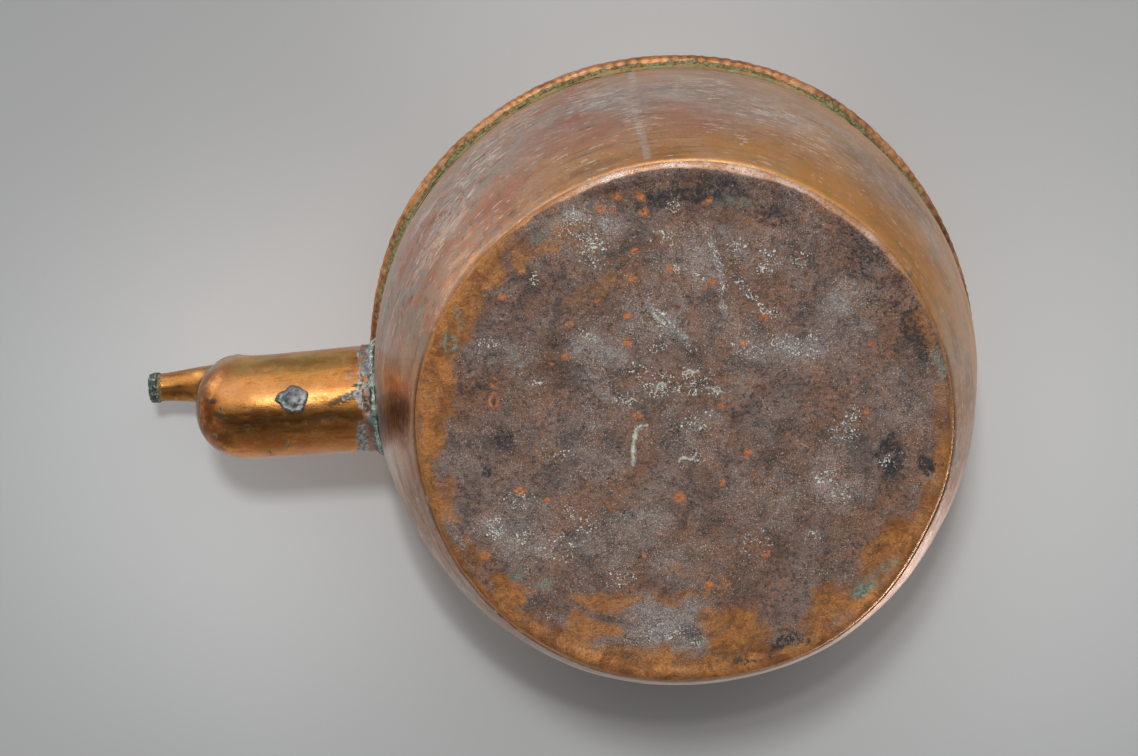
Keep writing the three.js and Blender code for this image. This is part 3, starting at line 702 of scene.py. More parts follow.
OXIDE = oxide_material()
WALL_COPPER = copper_material(
    "wall_copper", marks=("pale", "gold", "brown", "scratch", "green", "worn", "red", "grey", "painted_sheen", "polish"), clean=(0.76, 0.42, 0.235),
    warm=(0.70, 0.36, 0.14), pale=(0.58, 0.53, 0.50), red=(0.56, 0.235, 0.155), paleness=0.26, darkness=0.42,
    redness=0.80, rough=(0.34, 0.54), brushed=0.85,
)
SHOULDER_COPPER = copper_material("shoulder_copper", marks=("brown", "green"), paleness=0.26, darkness=0.42)
LID_COPPER = copper_material("lid_copper", marks=("brown", "green"), paleness=0.22, darkness=0.40)
RING_COPPER = copper_material(
    "ring_copper",
    stretch=(1, 1, 8),
    clean=(0.64, 0.275, 0.080),
    warm=(0.54, 0.235, 0.060),
    marks=("green", "brown"),
    paleness=0.16,
    darkness=0.45,
    rough=(0.42, 0.60),
    verd=((0.120, 0.105, 0.034), (0.300, 0.330, 0.180)),
)
SPOUT_COPPER = copper_material(
    "spout_copper",
    coord="run",
    stretch=(1, 6, 6),
    clean=(0.80, 0.35, 0.10),
    warm=(0.70, 0.31, 0.075),
    pale=(0.80, 0.38, 0.17),
    dark=(0.145, 0.045, 0.012),
    red=(0.52, 0.155, 0.040),
    paleness=0.10,
    darkness=0.45,
    redness=0.55,
    rough=(0.19, 0.31),
    marks=("grime", "brown", "green", "pale", "tin", "olive", "red", "stain_and_painted_reflection"),
    brushed=0.35,
)
FORGED_COPPER = copper_material(
    "forged_copper",
    coord=None,
    stretch=(1, 1, 1),
    clean=(0.56, 0.27, 0.14),
    warm=(0.44, 0.20, 0.095),
    pale=(0.56, 0.40, 0.33),
    dark=(0.085, 0.038, 0.022),
    paleness=0.30,
    darkness=0.62,
    rough=(0.34, 0.56),
    marks=("green",),
    hammered=0.35,
)
RIVET_COPPER = copper_material(
    "rivet_copper",
    coord=None,
    stretch=(1, 1, 1),
    clean=(0.66, 0.32, 0.16),
    warm=(0.50, 0.22, 0.10),
    dark=(0.09, 0.040, 0.022),
    paleness=0.25,
    darkness=0.6,
    rough=(0.30, 0.5),
    marks=("green",),
)
SOLDER = solder_material("root_solder", crust=1.0, chalk=(0.66, 0.72, 0.63), light=(0.36, 0.38, 0.37), deep=(0.060, 0.066, 0.066))
LEAD = solder_material("lead_patch", crust=0.10, light=(0.36, 0.37, 0.37), deep=(0.085, 0.09, 0.095))
JOINT = solder_material("joint_solder", crust=0.22, light=(0.50, 0.47, 0.47), deep=(0.16, 0.15, 0.155))
CRUST = verdigris_material()
BRASS = brass_material()

# ------------------------------------------------------------------ the body's irregular outline

FOOT = [
    (-178, 0.2), (-165, 0.8), (-150, -0.7), (-138, 0.7), (-116, 1.1), (-97, -0.4), (-84, 0.0), (-65, 0.5),
    (-30, 0.4), (-12, -0.5), (12, 0.6), (27, 0.0), (48, -0.9), (62, -1.2), (80, -0.3), (107, 0.5),
    (132, -0.6), (143, 0.6), (154, -0.4), (165, 0.2),
]
BRIM = [
    (13, -0.9), (24, 0.2), (35, 1.0), (57, 0.2), (75, 0.4), (92, -0.2), (108, 0.7), (125, 0.7), (142, -0.5),
    (160, -0.9), (172, -0.3), (-170, 0.3), (-120, 0.0), (-60, 0.3), (-20, -0.3),
]


def foot_line(t):
    return table(np.degrees(t), FOOT)


def brim_line(t):
    return table(np.degrees(t), BRIM)


def body_shift(t, z):
    """How far the body's round outline is out of true at an angle and a height."""
    low = foot_line(t) * (1 - ease(z, 8, 62))
    high = brim_line(t) * ease(z, 62, 98) * (1 - ease(z, 110, 136))
    return low + high


def blot(u, v, u0, v0, ru, rv, turn=0.0, soft=0.55):
    """Soft spot in the picture's own coordinates, 1 at its middle."""
    a = math.radians(turn)
    du, dv = u - u0, v - v0
    x = (du * math.cos(a) + dv * math.sin(a)) / ru
    y = (-du * math.sin(a) + dv * math.cos(a)) / rv
    return 1 - ease(np.hypot(x, y), 1 - soft, 1 + soft * 0.4)


def stroke(u, v, points, width):
    """Line through points in the picture's coordinates."""
    best = np.full(len(u), 1e9)
    for (x0, y0), (x1, y1) in zip(points[:-1], points[1:]):
        dx, dy = x1 - x0, y1 - y0
        t = np.clip(((u - x0) * dx + (v - y0) * dy) / (dx * dx + dy * dy), 0, 1)
        best = np.minimum(best, np.hypot(u - x0 - t * dx, v - y0 - t * dy))
    return 1 - ease(best, width * 0.55, width * 1.15)


# ------------------------------------------------------------------ bottom plate


def foot_plate():
    n = 380
    a = np.linspace(-1, 1, n + 1)
    A, B = np.meshgrid(a, a, indexing="ij")
    with np.errstate(divide="ignore", invalid="ignore"):
        big = np.abs(A) >= np.abs(B)
        r = np.where(big, A, B)
        phi = np.where(big, np.pi / 4 * B / np.where(A == 0, 1, A), np.pi / 2 - np.pi / 4 * A / np.where(B == 0, 1, B))
    X, Y = r * np.cos(phi), r * np.sin(phi)
    r0 = 84.0
    co = np.stack([X.ravel() * r0, Y.ravel() * r0, np.zeros(X.size)], 1)
    quads = grid_faces(n + 1, n + 1, wrap_cols=False)
    number = np.arange((n + 1) ** 2).reshape(n + 1, n + 1)
    rim = np.concatenate([number[:-1, 0], number[-1, :-1], number[:0:-1, -1], number[0, :0:-1]])
    m = len(rim)
    edge = co[rim]
    t = np.arctan2(edge[:, 1], edge[:, 0])
    rows = [84.6, 85.2, 85.8, 86.3, 86.8, 87.2, 87.6, 88.0, 88.4, 88.75, 89.05, 89.3, 89.52, 89.70, 89.84, 89.93, 89.98]
    parts = [co]
    faces = [quads]
    last = rim
    start = len(co)
    for rr in rows:
        parts.append(np.stack([rr * np.cos(t), rr * np.sin(t), np.zeros(m)], 1))
        now = np.arange(start, start + m)
        faces.append(np.stack([last, np.roll(last, -1), np.roll(now, -1), now], 1))
        last, start = now, start + m
    top = np.vstack(parts)
    seen = len(top)
    # rim and hammered face
    rad = np.hypot(top[:, 0], top[:, 1])
    th = np.arctan2(top[:, 1], top[:, 0])
    flat = top.copy()
    seat = 86.3 + 0.9 * fbm(np.stack([np.cos(th) * 90, np.sin(th) * 90, 0 * th], 1), 22, 3, 5)
    wide = np.clip(0.75 + 0.55 * fbm(np.stack([np.cos(th) * 90, np.sin(th) * 90, 0 * th + 9], 1), 60, 2, 8), 0.25, 1)
    f1, f2, _ = cells(flat, 15.0, 21)
    lumps = 0.50 * fbm(flat, 26, 2, 31) + 0.40 * (f1 - 0.5) + 0.20 * fbm(flat, 7.5, 3, 41)
    pits = 0.080 * fbm(flat, 2.2, 3, 51)
    u, v = pixels(flat)
    wu, wv = u + 7 * fbm(flat, 9, 3, 61), v + 7 * fbm(flat + 40, 9, 3, 62)
    crease = (
        stroke(wu, wv, [(648, 304), (668, 328), (690, 352)], 7) * 0.42
        + stroke(wu, wv, [(655, 335), (700, 300)], 6) * 0.22
        + stroke(wu, wv, [(712, 228), (724, 290)], 5) * 0.32
        + stroke(wu, wv, [(560, 330), (600, 300), (610, 340)], 8) * 0.15
        + stroke(wu, wv, [(590, 455), (606, 436), (612, 420)], 9) * 0.24
        + stroke(wu, wv, [(470, 380), (500, 372), (530, 388)], 9) * 0.22
        + stroke(wu, wv, [(850, 290), (866, 322), (858, 350)], 9) * 0.24
        - stroke(wu, wv, [(600, 470), (640, 500), (620, 540)], 10) * 0.20
        - stroke(wu, wv, [(760, 400), (790, 470)], 11) * 0.20
    )
    inner = 1 - ease(rad, seat - 2.6, seat + 0.4)
    hollow = 0.58 + lumps * 0.86 + pits - crease * 1.35
    z = inner * hollow * np.where(rad < seat, 1, wide) + (1 - inner) * (0.05 + 0.05 * fbm(flat, 5, 3, 71))
    over = np.clip((rad - 86.9) / 3.05, 0, 1)
    z = z + 1.95 * (1 - np.sqrt(1 - over**2))
    z = np.clip(z, 0.0, 1.9)
    shift = foot_line(th) * ease(rad, 60, 88)
    scale = (rad + shift) / np.maximum(rad, 1e-6)
    top[:, 0] *= scale
    top[:, 1] *= scale
    top[:, 2] = z
    # the side and the upper face, closed with a plain sheet
    t = np.arctan2(top[last, 1], top[last, 0])
    back = []
    for rr, zz in ((90.0, 1.9), (89.8, 2.35), (88.0, 2.4), (70.0, 2.4), (40.0, 2.4), (14.0, 2.4)):
        q = rr + foot_line(t) * (1 if rr > 80 else 0)
        back.append(np.stack([q * np.cos(t), q * np.sin(t), np.full(m, zz)], 1))
        now = np.arange(start, start + m)
        faces.append(np.stack([last, np.roll(last, -1), np.roll(now, -1), now], 1))
        last, start = now, start + m
    co = np.vstack([top, *back])
    # marks, placed by the picture
    u, v = pixels(co)
    w1, w2 = fbm(co, 10, 4, 81), fbm(co + 60, 10, 4, 82)
    u1, v1 = u + 16 * w1, v + 16 * w2
    s1 = u + 6 * w1 + 2.2 * fbm(co, 2.2, 2, 88)
    s2 = v + 6 * w2 + 2.2 * fbm(co + 30, 2.2, 2, 89)
    rad = np.hypot(co[:, 0], co[:, 1]) - foot_line(np.arctan2(co[:, 1], co[:, 0]))

    def many(uu, vv, spots):
        out = np.zeros(len(uu))
        for q in spots:
            strength = q[5] if len(q) > 5 else 1.0
            turn = q[4] if len(q) > 4 else 0.0
            out = np.maximum(out, strength * blot(uu, vv, q[0], q[1], q[2], q[3], turn))
        return out

    soot = many(u1, v1, [
        (482, 468, 9, 8), (503, 437, 13, 22, 0, 0.75), (480, 372, 26, 34, 10, 0.42), (560, 372, 30, 18, 20, 0.30), (678, 436, 34, 22, 20, 0.42), (664, 425, 10, 8, 0, 0.45), (692, 440, 9, 9, 0, 0.45), (568, 400, 22, 12, 30, 0.5),
        (893, 455, 20, 15, -20), (929, 463, 12, 13), (690, 196, 84, 15, 0, 0.95), (770, 215, 40, 14, 30, 0.7),
        (640, 206, 40, 14, -10, 0.5), (793, 642, 30, 9, -28, 0.9), (750, 660, 18, 6, -10, 0.8), (505, 318, 20, 26, 20, 0.45),
        (880, 300, 26, 30, 40, 0.5), (860, 262, 26, 16, 45, 0.6), (916, 335, 12, 44, -10, 0.75), (872, 250, 34, 12, 45, 0.7), (900, 282, 16, 22, 30, 0.6), (620, 440, 22, 14, 0, 0.4),
        (745, 405, 30, 20, 0, 0.35), (880, 545, 18, 12, -50, 0.4), (528, 640, 20, 9, 30, 0.55), (470, 560, 10, 22, -30, 0.5),
        (437, 470, 6, 24, 0, 0.5), (560, 470, 30, 20, 0, 0.25), (560, 290, 50, 26, -24, 0.30), (590, 410, 24, 14, 30, 0.42),
        (820, 400, 40, 30, 0, 0.24), (600, 540, 40, 18, 30, 0.24), (700, 330, 40, 14, 20, 0.24),
    ])
    haze_and_ridge_highlight = many(u1, v1, [
        (597, 352, 40, 26), (640, 318, 40, 24), (690, 255, 34, 30, 0, 0.8), (846, 312, 34, 42, 0, 0.60),
        (690, 440, 44, 36, 0, 0.75), (640, 540, 60, 36, 0, 0.7), (520, 520, 46, 32, 0, 0.7), (840, 480, 36, 34, 0, 0.9),
        (764, 500, 60, 40, 0, 0.45), (664, 622, 60, 26, 0, 0.95), (592, 225, 44, 24, 0, 0.75), (500, 352, 40, 20, 0, 0.6),
        (800, 350, 38, 26, 0, 0.9), (730, 345, 50, 32, 0, 0.6), (560, 590, 40, 20, 0, 0.5), (900, 400, 30, 44, 0, 0.25),
        # the narrow strips at 669, 328 and 718, 262 follow creases: painted ridge highlights
        (600, 440, 50, 40, 0, 0.45), (700, 560, 70, 36, 0, 0.5), (780, 250, 40, 24, 0, 0.6), (669, 328, 11, 30, -40, 1.3), (610, 356, 26, 16, 0, 1.0), (640, 640, 60, 22, 0, 1.1),
        (850, 300, 30, 22, 0, 1.1), (718, 262, 9, 34, -10, 1.1), (560, 232, 30, 12, 0, 0.8),
    ])
    haze_and_ridge_highlight = np.clip(haze_and_ridge_highlight * (0.80 + 0.8 * fbm(co + 17, 7, 4, 79)) + 0.20 + 0.46 * fbm(co, 14, 3, 83), 0, 1)
    orange = many(u1, v1, [
        (436, 400, 20, 80, 4, 1.0), (452, 330, 16, 44, 28, 0.95), (486, 285, 15, 30, 38, 0.75), (512, 592, 26, 17, 42, 1.0),
        (478, 556, 14, 28, -28, 0.7), (560, 640, 30, 18, 20, 0.85), (640, 660, 60, 20, 0, 1.0), (620, 608, 38, 8, -4, 0.65),
        (740, 640, 44, 24, -10, 0.9), (826, 606, 40, 20, -35, 0.9), (888, 552, 22, 44, 32, 1.0), (930, 500, 14, 34, 16, 0.8),
        (940, 400, 12, 40, 0, 0.55), (560, 235, 20, 12, 0, 0.5), (668, 232, 20, 9, 0, 0.4), (736, 222, 20, 10, 0, 0.45),
        (520, 250, 22, 14, -40, 0.6), (922, 330, 12, 30, -20, 0.6), (700, 470, 30, 14, 0, 0.25), (720, 590, 30, 16, 0, 0.35),
        (450, 500, 12, 30, 0, 0.7), (600, 602, 44, 12, 0, 0.75), (585, 630, 34, 14, 0, 0.85), (730, 622, 44, 16, 0, 0.85),
        (680, 598, 40, 10, 0, 0.55), (590, 290, 40, 18, -20, 0.42), (800, 372, 40, 14, -14, 0.34), (600, 500, 60, 26, -12, 0.30), (560, 400, 40, 16, 0, 0.26), (690, 570, 30, 14, 0, 0.45), (560, 238, 34, 10, -28, 0.6), (470, 300, 18, 44, 30, 0.8),
    ])
    near_rim = ease(rad + 5.5 * fbm(co, 14, 4, 76) - 3.0 * ease(u, 560, 470), 79.5, 84.8) * (1 - 0.85 * ease(u, 470, 560) * (1 - ease(u, 800, 880)) * (1 - ease(v, 230, 320)))
    near_rim = near_rim * (1 - 0.90 * ease(u, 780, 850) * (1 - ease(v, 380, 450)))
    orange = np.maximum(orange, near_rim * np.clip(0.9 + 0.5 * fbm(co, 8, 3, 77), 0, 1))
    green = many(u1, v1, [
        (868, 592, 22, 9, -40, 1.0), (895, 564, 18, 8, -50, 0.8), (938, 361, 7, 20, 0, 0.8), (447, 345, 6, 18, 0, 0.8),
        (455, 318, 6, 12, 0, 0.6), (520, 577, 6, 5, 0, 0.9), (539, 589, 7, 6, 0, 0.9), (439, 462, 6, 9, 0, 0.5),
        (696, 645, 16, 8, 0, 0.5), (480, 250, 10, 10, 0, 0.4), (730, 205, 26, 6, 0, 0.5), (540, 236, 14, 6, -30, 0.4),
    ])
    lime_and_ridge_highlight = many(s1, s2, [
        (489, 343, 13, 7), (497, 528, 13, 14), (525, 534, 10, 8, 0, 0.8), (539, 383, 7, 5, 0, 0.9), (517, 374, 9, 4, 0, 0.7),
        (571, 509, 10, 8, 0, 0.8), (664, 382, 18, 15, -30, 1.05), (695, 378, 16, 13, 0, 1.0), (716, 392, 10, 6, 0, 0.9),
        (577, 220, 15, 10, 0, 1.05), (592, 243, 12, 8, 0, 0.95), (605, 222, 8, 8, 0, 0.8), (533, 276, 7, 9, 0, 0.9),
        # the spots at 661, 318 and 718, 258 lie on ridges as painted highlights
        (672, 207, 10, 8, 0, 0.9), (664, 236, 14, 8, 0, 0.8), (661, 318, 9, 13, -40, 1.1), (718, 258, 6, 28, -12, 1.0),
        (738, 246, 10, 8, 0, 0.9), (768, 258, 14, 8, 20, 0.8), (725, 307, 6, 5, 0, 1.1), (668, 330, 9, 8, 0, 1.0),
        (854, 417, 10, 14, 0, 0.9), (824, 476, 14, 10, 0, 1.0), (842, 492, 12, 10, 0, 1.0), (810, 536, 10, 8, 0, 0.8),
        (795, 347, 26, 13, 8, 0.95), (812, 336, 8, 8, 0, 0.9), (890, 461, 8, 5, 0, 0.9), (600, 345, 10, 7, 0, 0.6),
        (660, 346, 7, 5, 0, 1.1), (690, 350, 8, 6, 0, 0.8), (640, 372, 14, 10, 0, 0.6), (700, 462, 9, 5, 0, 0.9),
        (683, 466, 5, 4, 0, 0.8), (551, 617, 6, 5, 0, 0.9), (664, 632, 26, 12, 0, 0.85), (696, 642, 12, 8, 0, 0.9),
        (560, 545, 26, 16, 0, 0.55), (585, 520, 16, 12, 0, 0.6), (520, 500, 16, 12, 0, 0.55), (846, 432, 18, 20, 0, 0.55),
        (750, 350, 18, 12, 0, 0.5), (700, 420, 18, 12, 0, 0.5), (562, 455, 12, 8, 0, 0.4), (625, 400, 14, 8, 0, 0.5),
        (800, 260, 12, 10, 0, 0.5), (620, 580, 26, 12, 0, 0.35), (755, 545, 20, 14, 0, 0.35), (590, 260, 22, 12, 0, 0.45),
    ])
    lime_and_ridge_highlight = np.maximum.reduce([
        # the streak from 711, 229 to 726, 289 follows a crease: a painted ridge highlight
        lime_and_ridge_highlight, 0.95 * stroke(s1, s2, [(560, 233), (583, 240), (607, 246)], 4.5), 0.55 * stroke(s1, s2, [(711, 229), (716, 252), (726, 289)], 5.5),
        0.9 * blot(s1, s2, 766, 266, 9, 9), 0.9 * blot(s1, s2, 677, 271, 9, 8), 0.8 * blot(s1, s2, 696, 275, 8, 6), 1.0 * blot(s1, s2, 660, 346, 8, 7),
        0.8 * stroke(s1, s2, [(740, 280), (751, 294), (774, 314)], 6), 0.8 * stroke(s1, s2, [(769, 337), (789, 349), (800, 352)], 6),
        0.9 * stroke(s1, s2, [(648, 384), (669, 386), (703, 389)], 6), 0.8 * stroke(s1, s2, [(577, 330), (590, 338)], 4),
    ])
    lime_and_ridge_highlight = np.clip(lime_and_ridge_highlight + 0.10 * (fbm(co, 12, 3, 84) + 0.4), 0, 1.2) * (rad < 87.5)
    worm = np.maximum.reduce([
        stroke(s1, s2, [(648, 424), (643, 425), (639, 429), (636, 437), (634.5, 447)], 1.7),
        stroke(s1, s2, [(634.5, 446), (635, 463)], 2.2),
        stroke(s1, s2, [(682, 465), (686, 459), (693, 461), (698, 455)], 1.5),
        0.9 * stroke(s1, s2, [(655, 392), (662, 384), (668, 387)], 1.2),
        0.60 * stroke(s1, s2, [(713, 238), (716, 250)], 1.3),
        0.60 * stroke(s1, s2, [(655, 313), (662, 320)], 1.5),
        0.9 * stroke(s1, s2, [(706, 388), (716, 390), (726, 393)], 1.1),
        0.9 * stroke(s1, s2, [(625, 403), (630, 399), (637, 401)], 1.2),
        0.8 * stroke(s1, s2, [(684, 372), (690, 369), (697, 373)], 1.1),
    ])
    spot = np.zeros(len(co))
    for x, y, q in (
        (518, 492, 5.0), (488, 557, 5.0), (569, 358, 4.2), (640, 415, 4.2), (680, 497, 5.0), (717, 485, 4.2), (752, 455, 4.6),
        (742, 344, 4.0), (870, 344, 3.6), (710, 586, 5.0), (764, 555, 3.6), (642, 555, 3.2), (548, 502, 3.2), (598, 300, 3.0),
        (556, 366, 3.0), (614, 197, 4.6), (600, 210, 4.0), (640, 197, 5.4), (647, 213, 4.6), (613, 210, 3.0),
        (639, 250, 3.2), (670, 268, 4.2), (712, 279, 4.4), (699, 286, 3.0), (631, 280, 4.6), (762, 314, 4.2), (631, 343, 5.0),
        (571, 326, 4.0), (630, 314, 4.0), (707, 202, 4.0), (723, 405, 4.0), (520, 268, 3.4), (500, 300, 3.4), (868, 410, 3.2),
    ):
        q *= 1.25
        spot = np.maximum(spot, blot(s1, s2, x + 6 * _hash(np.uint32(x), np.uint32(y), np.uint32(1), 3) - 3, y, q, q * 0.9, 0, 0.5))
    for x, y, ru, rv in ((494, 401, 4.6, 7.6), (494, 383, 3.2, 4.8)):
        ring = np.hypot((u + w1 - x) / ru, (v + w2 - y) / rv)
        spot = np.maximum(spot, np.exp(-((ring - 0.85) / 0.28) ** 2))
    # painted highlight along the top of the rim: the worn lip is widened there and carries a pinkish white
    highlit_rim_top = ease(u, 520, 610) * (1 - ease(u, 850, 925)) * (1 - ease(v, 235, 320))
    edge = 88.6 - 0.95 * highlit_rim_top + 1.2 * fbm(co, 7, 4, 85)
    lip = ease(rad, edge, edge + 0.7) * np.clip(0.9 + 0.5 * fbm(co, 16, 3, 86), 0.4, 1)
    lip = lip * (1 - 0.75 * blot(u1, v1, 700, 700, 250, 40)) * (1 - 0.5 * blot(u1, v1, 424, 470, 30, 90))
    clear = 1 - ease(rad, 87.2, 89.0)
    back_side = co[:, 2] > 2.2
    veil_and_ridge_highlight = many(u1, v1, [
        (597, 354, 34, 16, 10, 0.75), (596, 392, 28, 10, 30, 0.7), (756, 352, 20, 12, 0, 0.5), (745, 388, 16, 20, 0, 0.45),
        (664, 624, 44, 16, 0, 0.9), (640, 606, 50, 8, 0, 0.55), (696, 648, 26, 12, 0, 0.8), (838, 306, 14, 16, 20, 0.7), (860, 330, 16, 10, 0, 0.5),
        (800, 348, 30, 16, 10, 0.6), (520, 352, 26, 12, 0, 0.45), (577, 218, 12, 7, 0, 0.9), (604, 222, 8, 6, 0, 0.8),
        (718, 236, 30, 8, 0, 0.4), (848, 432, 18, 20, 0, 0.55), (832, 484, 24, 16, 0, 0.6), (560, 540, 30, 14, 0, 0.45),
        (505, 524, 20, 16, 0, 0.45), (700, 420, 20, 12, 0, 0.4), (655, 400, 40, 18, 0, 0.35), (600, 560, 40, 14, 0, 0.3),
    ])
    # the strokes follow the ridges of the creases: painted highlights
    veil_and_ridge_highlight = np.maximum.reduce([
        veil_and_ridge_highlight, 1.1 * stroke(s1, s2, [(651, 306), (664, 318), (684, 340)], 5.0), 0.55 * stroke(s1, s2, [(710, 236), (718, 262), (726, 290)], 4.2),
        0.9 * stroke(s1, s2, [(734, 242), (747, 256)], 3.4), 0.8 * stroke(s1, s2, [(723, 300), (728, 316)], 3.4),
        0.7 * stroke(s1, s2, [(676, 292), (684, 306), (692, 310)], 3.2), 0.8 * stroke(s1, s2, [(655, 232), (673, 228)], 3.0),
    ])
    attributes = {
        "veil_and_ridge_highlight": veil_and_ridge_highlight * clear,
        "soot": soot * np.maximum(clear, 0.25), "haze_and_ridge_highlight": haze_and_ridge_highlight * clear, "orange": orange, "green": green,
        "lime_and_ridge_highlight": lime_and_ridge_highlight, "worm": worm, "spot": spot, "lip": np.where(back_side, 0.0, lip),
        "painted_rim_highlight": highlit_rim_top * np.clip(0.75 + 0.8 * fbm(co, 12, 4, 87), 0, 1),
    }
    obj = make(
        "foot_plate", co, np.vstack(faces), "kettle", ["base_plate"], OXIDE,
        attributes, caps=[list(last[::-1])],
    )
    return obj


foot_plate()

# ------------------------------------------------------------------ lower wall

WALL = [
    [90.2, 2.3], [91.0, 3.0], [91.9, 4.6], [93.1, 7.2], [94.8, 11.0], [97.3, 17.5], [101.6, 31], [105.9, 51.6], [108.2, 63],
    [109.4, 74], [109.8, 84], [109.5, 93], [108.9, 102.9],
]


def offset(line, d):
    """The line moved by d to its left, seen along it."""
    g = np.gradient(line, axis=0)
    g /= np.linalg.norm(g, axis=1)[:, None]
    return line + np.stack([-g[:, 1], g[:, 0]], 1) * d


def lower_wall():
    outer = smooth_line(WALL, 0.8)
    inner = offset(smooth_line(WALL[2:], 3.0), 1.6)
    inner[-1] = [107.3, 102.9]
    foot_in = [[88.6, 4.3], [87.0, 4.1], [80, 4.1], [80, 2.9], [86, 2.75], [89.2, 2.6]]
    profile = np.vstack([outer, [[108.1, 103.0]], inner[::-1], foot_in])
    n_out = len(outer)

    def move(t, r, z, row):
        r = r + body_shift(t, z)
        p = np.stack([np.cos(t) * 100, np.sin(t) * 100, z], 1)
        skin = (row < n_out) * ease(z, 2, 8)
        r = r + skin * (0.34 * fbm(p, 36, 3, 101) + 0.07 * fbm(p, 9, 3, 102))
        f1, f2, _ = cells(p * [1, 1, 1.4], 17, 103)
        return r + skin * 0.10 * (f1 - 0.5), z

    co, faces, t = revolve(profile, 900, move)
    u, v = pixels(co)
    z = co[:, 2]
    deg = np.degrees(t)
    deg = np.where(deg > 180, deg - 360, deg)
    p = np.stack([np.cos(t) * 100, np.sin(t) * 100, z], 1)
    n1, n2 = fbm(p, 24, 4, 111), fbm(p * [1, 1, 3.0], 20, 4, 112)
    uu, vv = u + 10 * n1, v + 10 * n2
    right = ease(-np.cos(t), -0.1, 0.75)  # the picture's right
    top = ease(np.sin(t), 0.0, 0.8)
    left = ease(np.cos(t), 0.2, 0.9)
    pale = ease(z, 16, 66) * (0.75 + 0.6 * n1) * (0.55 + 0.75 * np.maximum(0.8 * top, left) - 0.20 * right)
    pale = pale + ease(np.cos(t), 0.55, 0.95) * 0.30 * (0.5 + 1.2 * n1) * ease(z, 10, 60)
    pale = pale * (1 - 0.65 * ease(z, 48, 84))
    # painted sheen: the low wall towards -Y made paler
    pale = pale + ease(-np.sin(t), 0.08, 0.50) * 0.55 * (1 - 0.8 * ease(z, 26, 60))
    # painted shade: darker on the left, on the top and on the lower right, and a little all round
    painted_shade = left * (0.95 + 0.5 * n2) + 0.55 * top * np.clip(0.35 + 1.3 * n1, 0, 1) * ease(z, 20, 70) + 0.20
    painted_shade = np.clip(painted_shade, 0, 1) * (1 - 0.6 * right)
    painted_shade = np.maximum(painted_shade, ease(-np.cos(t), 0.30, 0.70) * ease(-np.sin(t), 0.0, 0.32))
    # painted sheen: the low wall towards -Y and -X, made pale grey
    painted_sheen = (1 - ease(z, 24, 52)) * np.maximum(
        ease(-np.sin(t + 0.25), 0.02, 0.45), 0.8 * ease(-np.cos(t), 0.62, 0.92) * (1 - ease(np.sin(t), 0.1, 0.5))
    ) * np.clip(0.95 + 0.5 * n2, 0, 1)
    grey = ease(z + 10 * n1, 14, 46) * (left * (0.85 + 0.8 * n1) + 0.80 * top * (0.55 + 1.3 * n2) + 0.36 * right * (0.4 + 1.2 * n1))
    grey = grey + 0.22 * left * ease(n2, 0.0, 0.35)
    gold = right * (1 - ease(z, 78, 106)) * (0.85 + 0.5 * n2) + (1 - ease(z, 5, 26)) * (0.45 + 0.6 * n2) * (1 - left)
    grey = grey * (1 - 0.72 * ease(z, 50, 84))
    painted_shade = painted_shade * (1 - 0.45 * ease(z, 50, 84))
    red = np.maximum(blot(uu, vv, 570, 135, 70, 22, -14), 0.8 * blot(uu, vv, 500, 200, 60, 20, -38))
    red = np.maximum(red, 0.7 * blot(uu, vv, 440, 290, 20, 60, 20)) * (0.6 + 0.8 * n1)
    red = np.maximum(red, 0.55 * blot(uu, vv, 690, 120, 60, 16, 6))
    red = np.maximum(red, 0.75 * blot(uu, vv, 540, 110, 80, 14, -22) * (0.5 + n2))
    red = np.maximum(red, 0.60 * blot(uu, vv, 420, 250, 22, 40, 30) * (0.5 + n1))
    # painted reflection of the spout on the wall beside its root, in brown
    brown = 0.95 * np.maximum(blot(uu, vv, 399, 408, 16, 26), 0.7 * blot(uu, vv, 402, 438, 10, 18))
    brown = np.maximum(brown, 0.45 * np.clip(n2 * 1.6 - 0.25, 0, 1))
    brown = np.maximum(brown, 0.10 * red)
    brown = np.maximum(brown, 0.50 * blot(uu, vv, 905, 190, 60, 20, 55) * (0.6 + n2))
    brown = np.maximum(brown, 0.50 * ease(np.abs(z - 7.5), 3.2, 0.5) * (0.4 + n1))
    brown = np.maximum(brown, 0.42 * (1 - ease(z, 2.8, 4.0)) * (0.6 + n1))
    brown = np.maximum(brown, 0.85 * ease(-np.cos(t), 0.30, 0.60) * ease(-np.sin(t), 0.05, 0.40) * (0.8 + 0.5 * n2) * (1 - ease(z, 30, 70)))
    brown = np.maximum(brown, 0.42 * right * np.clip(0.15 + 1.8 * n1, 0, 1) * (1 - ease(z, 40, 70)))
    # painted reflection of the spout beside its root, in brown and red
    brown = np.maximum(brown, 0.95 * blot(uu, vv, 401, 420, 15, 26) * (0.7 + 0.9 * n2))
    red = np.maximum(red, 1.0 * blot(uu, vv, 401, 398, 18, 62) * (0.7 + 0.8 * n2))
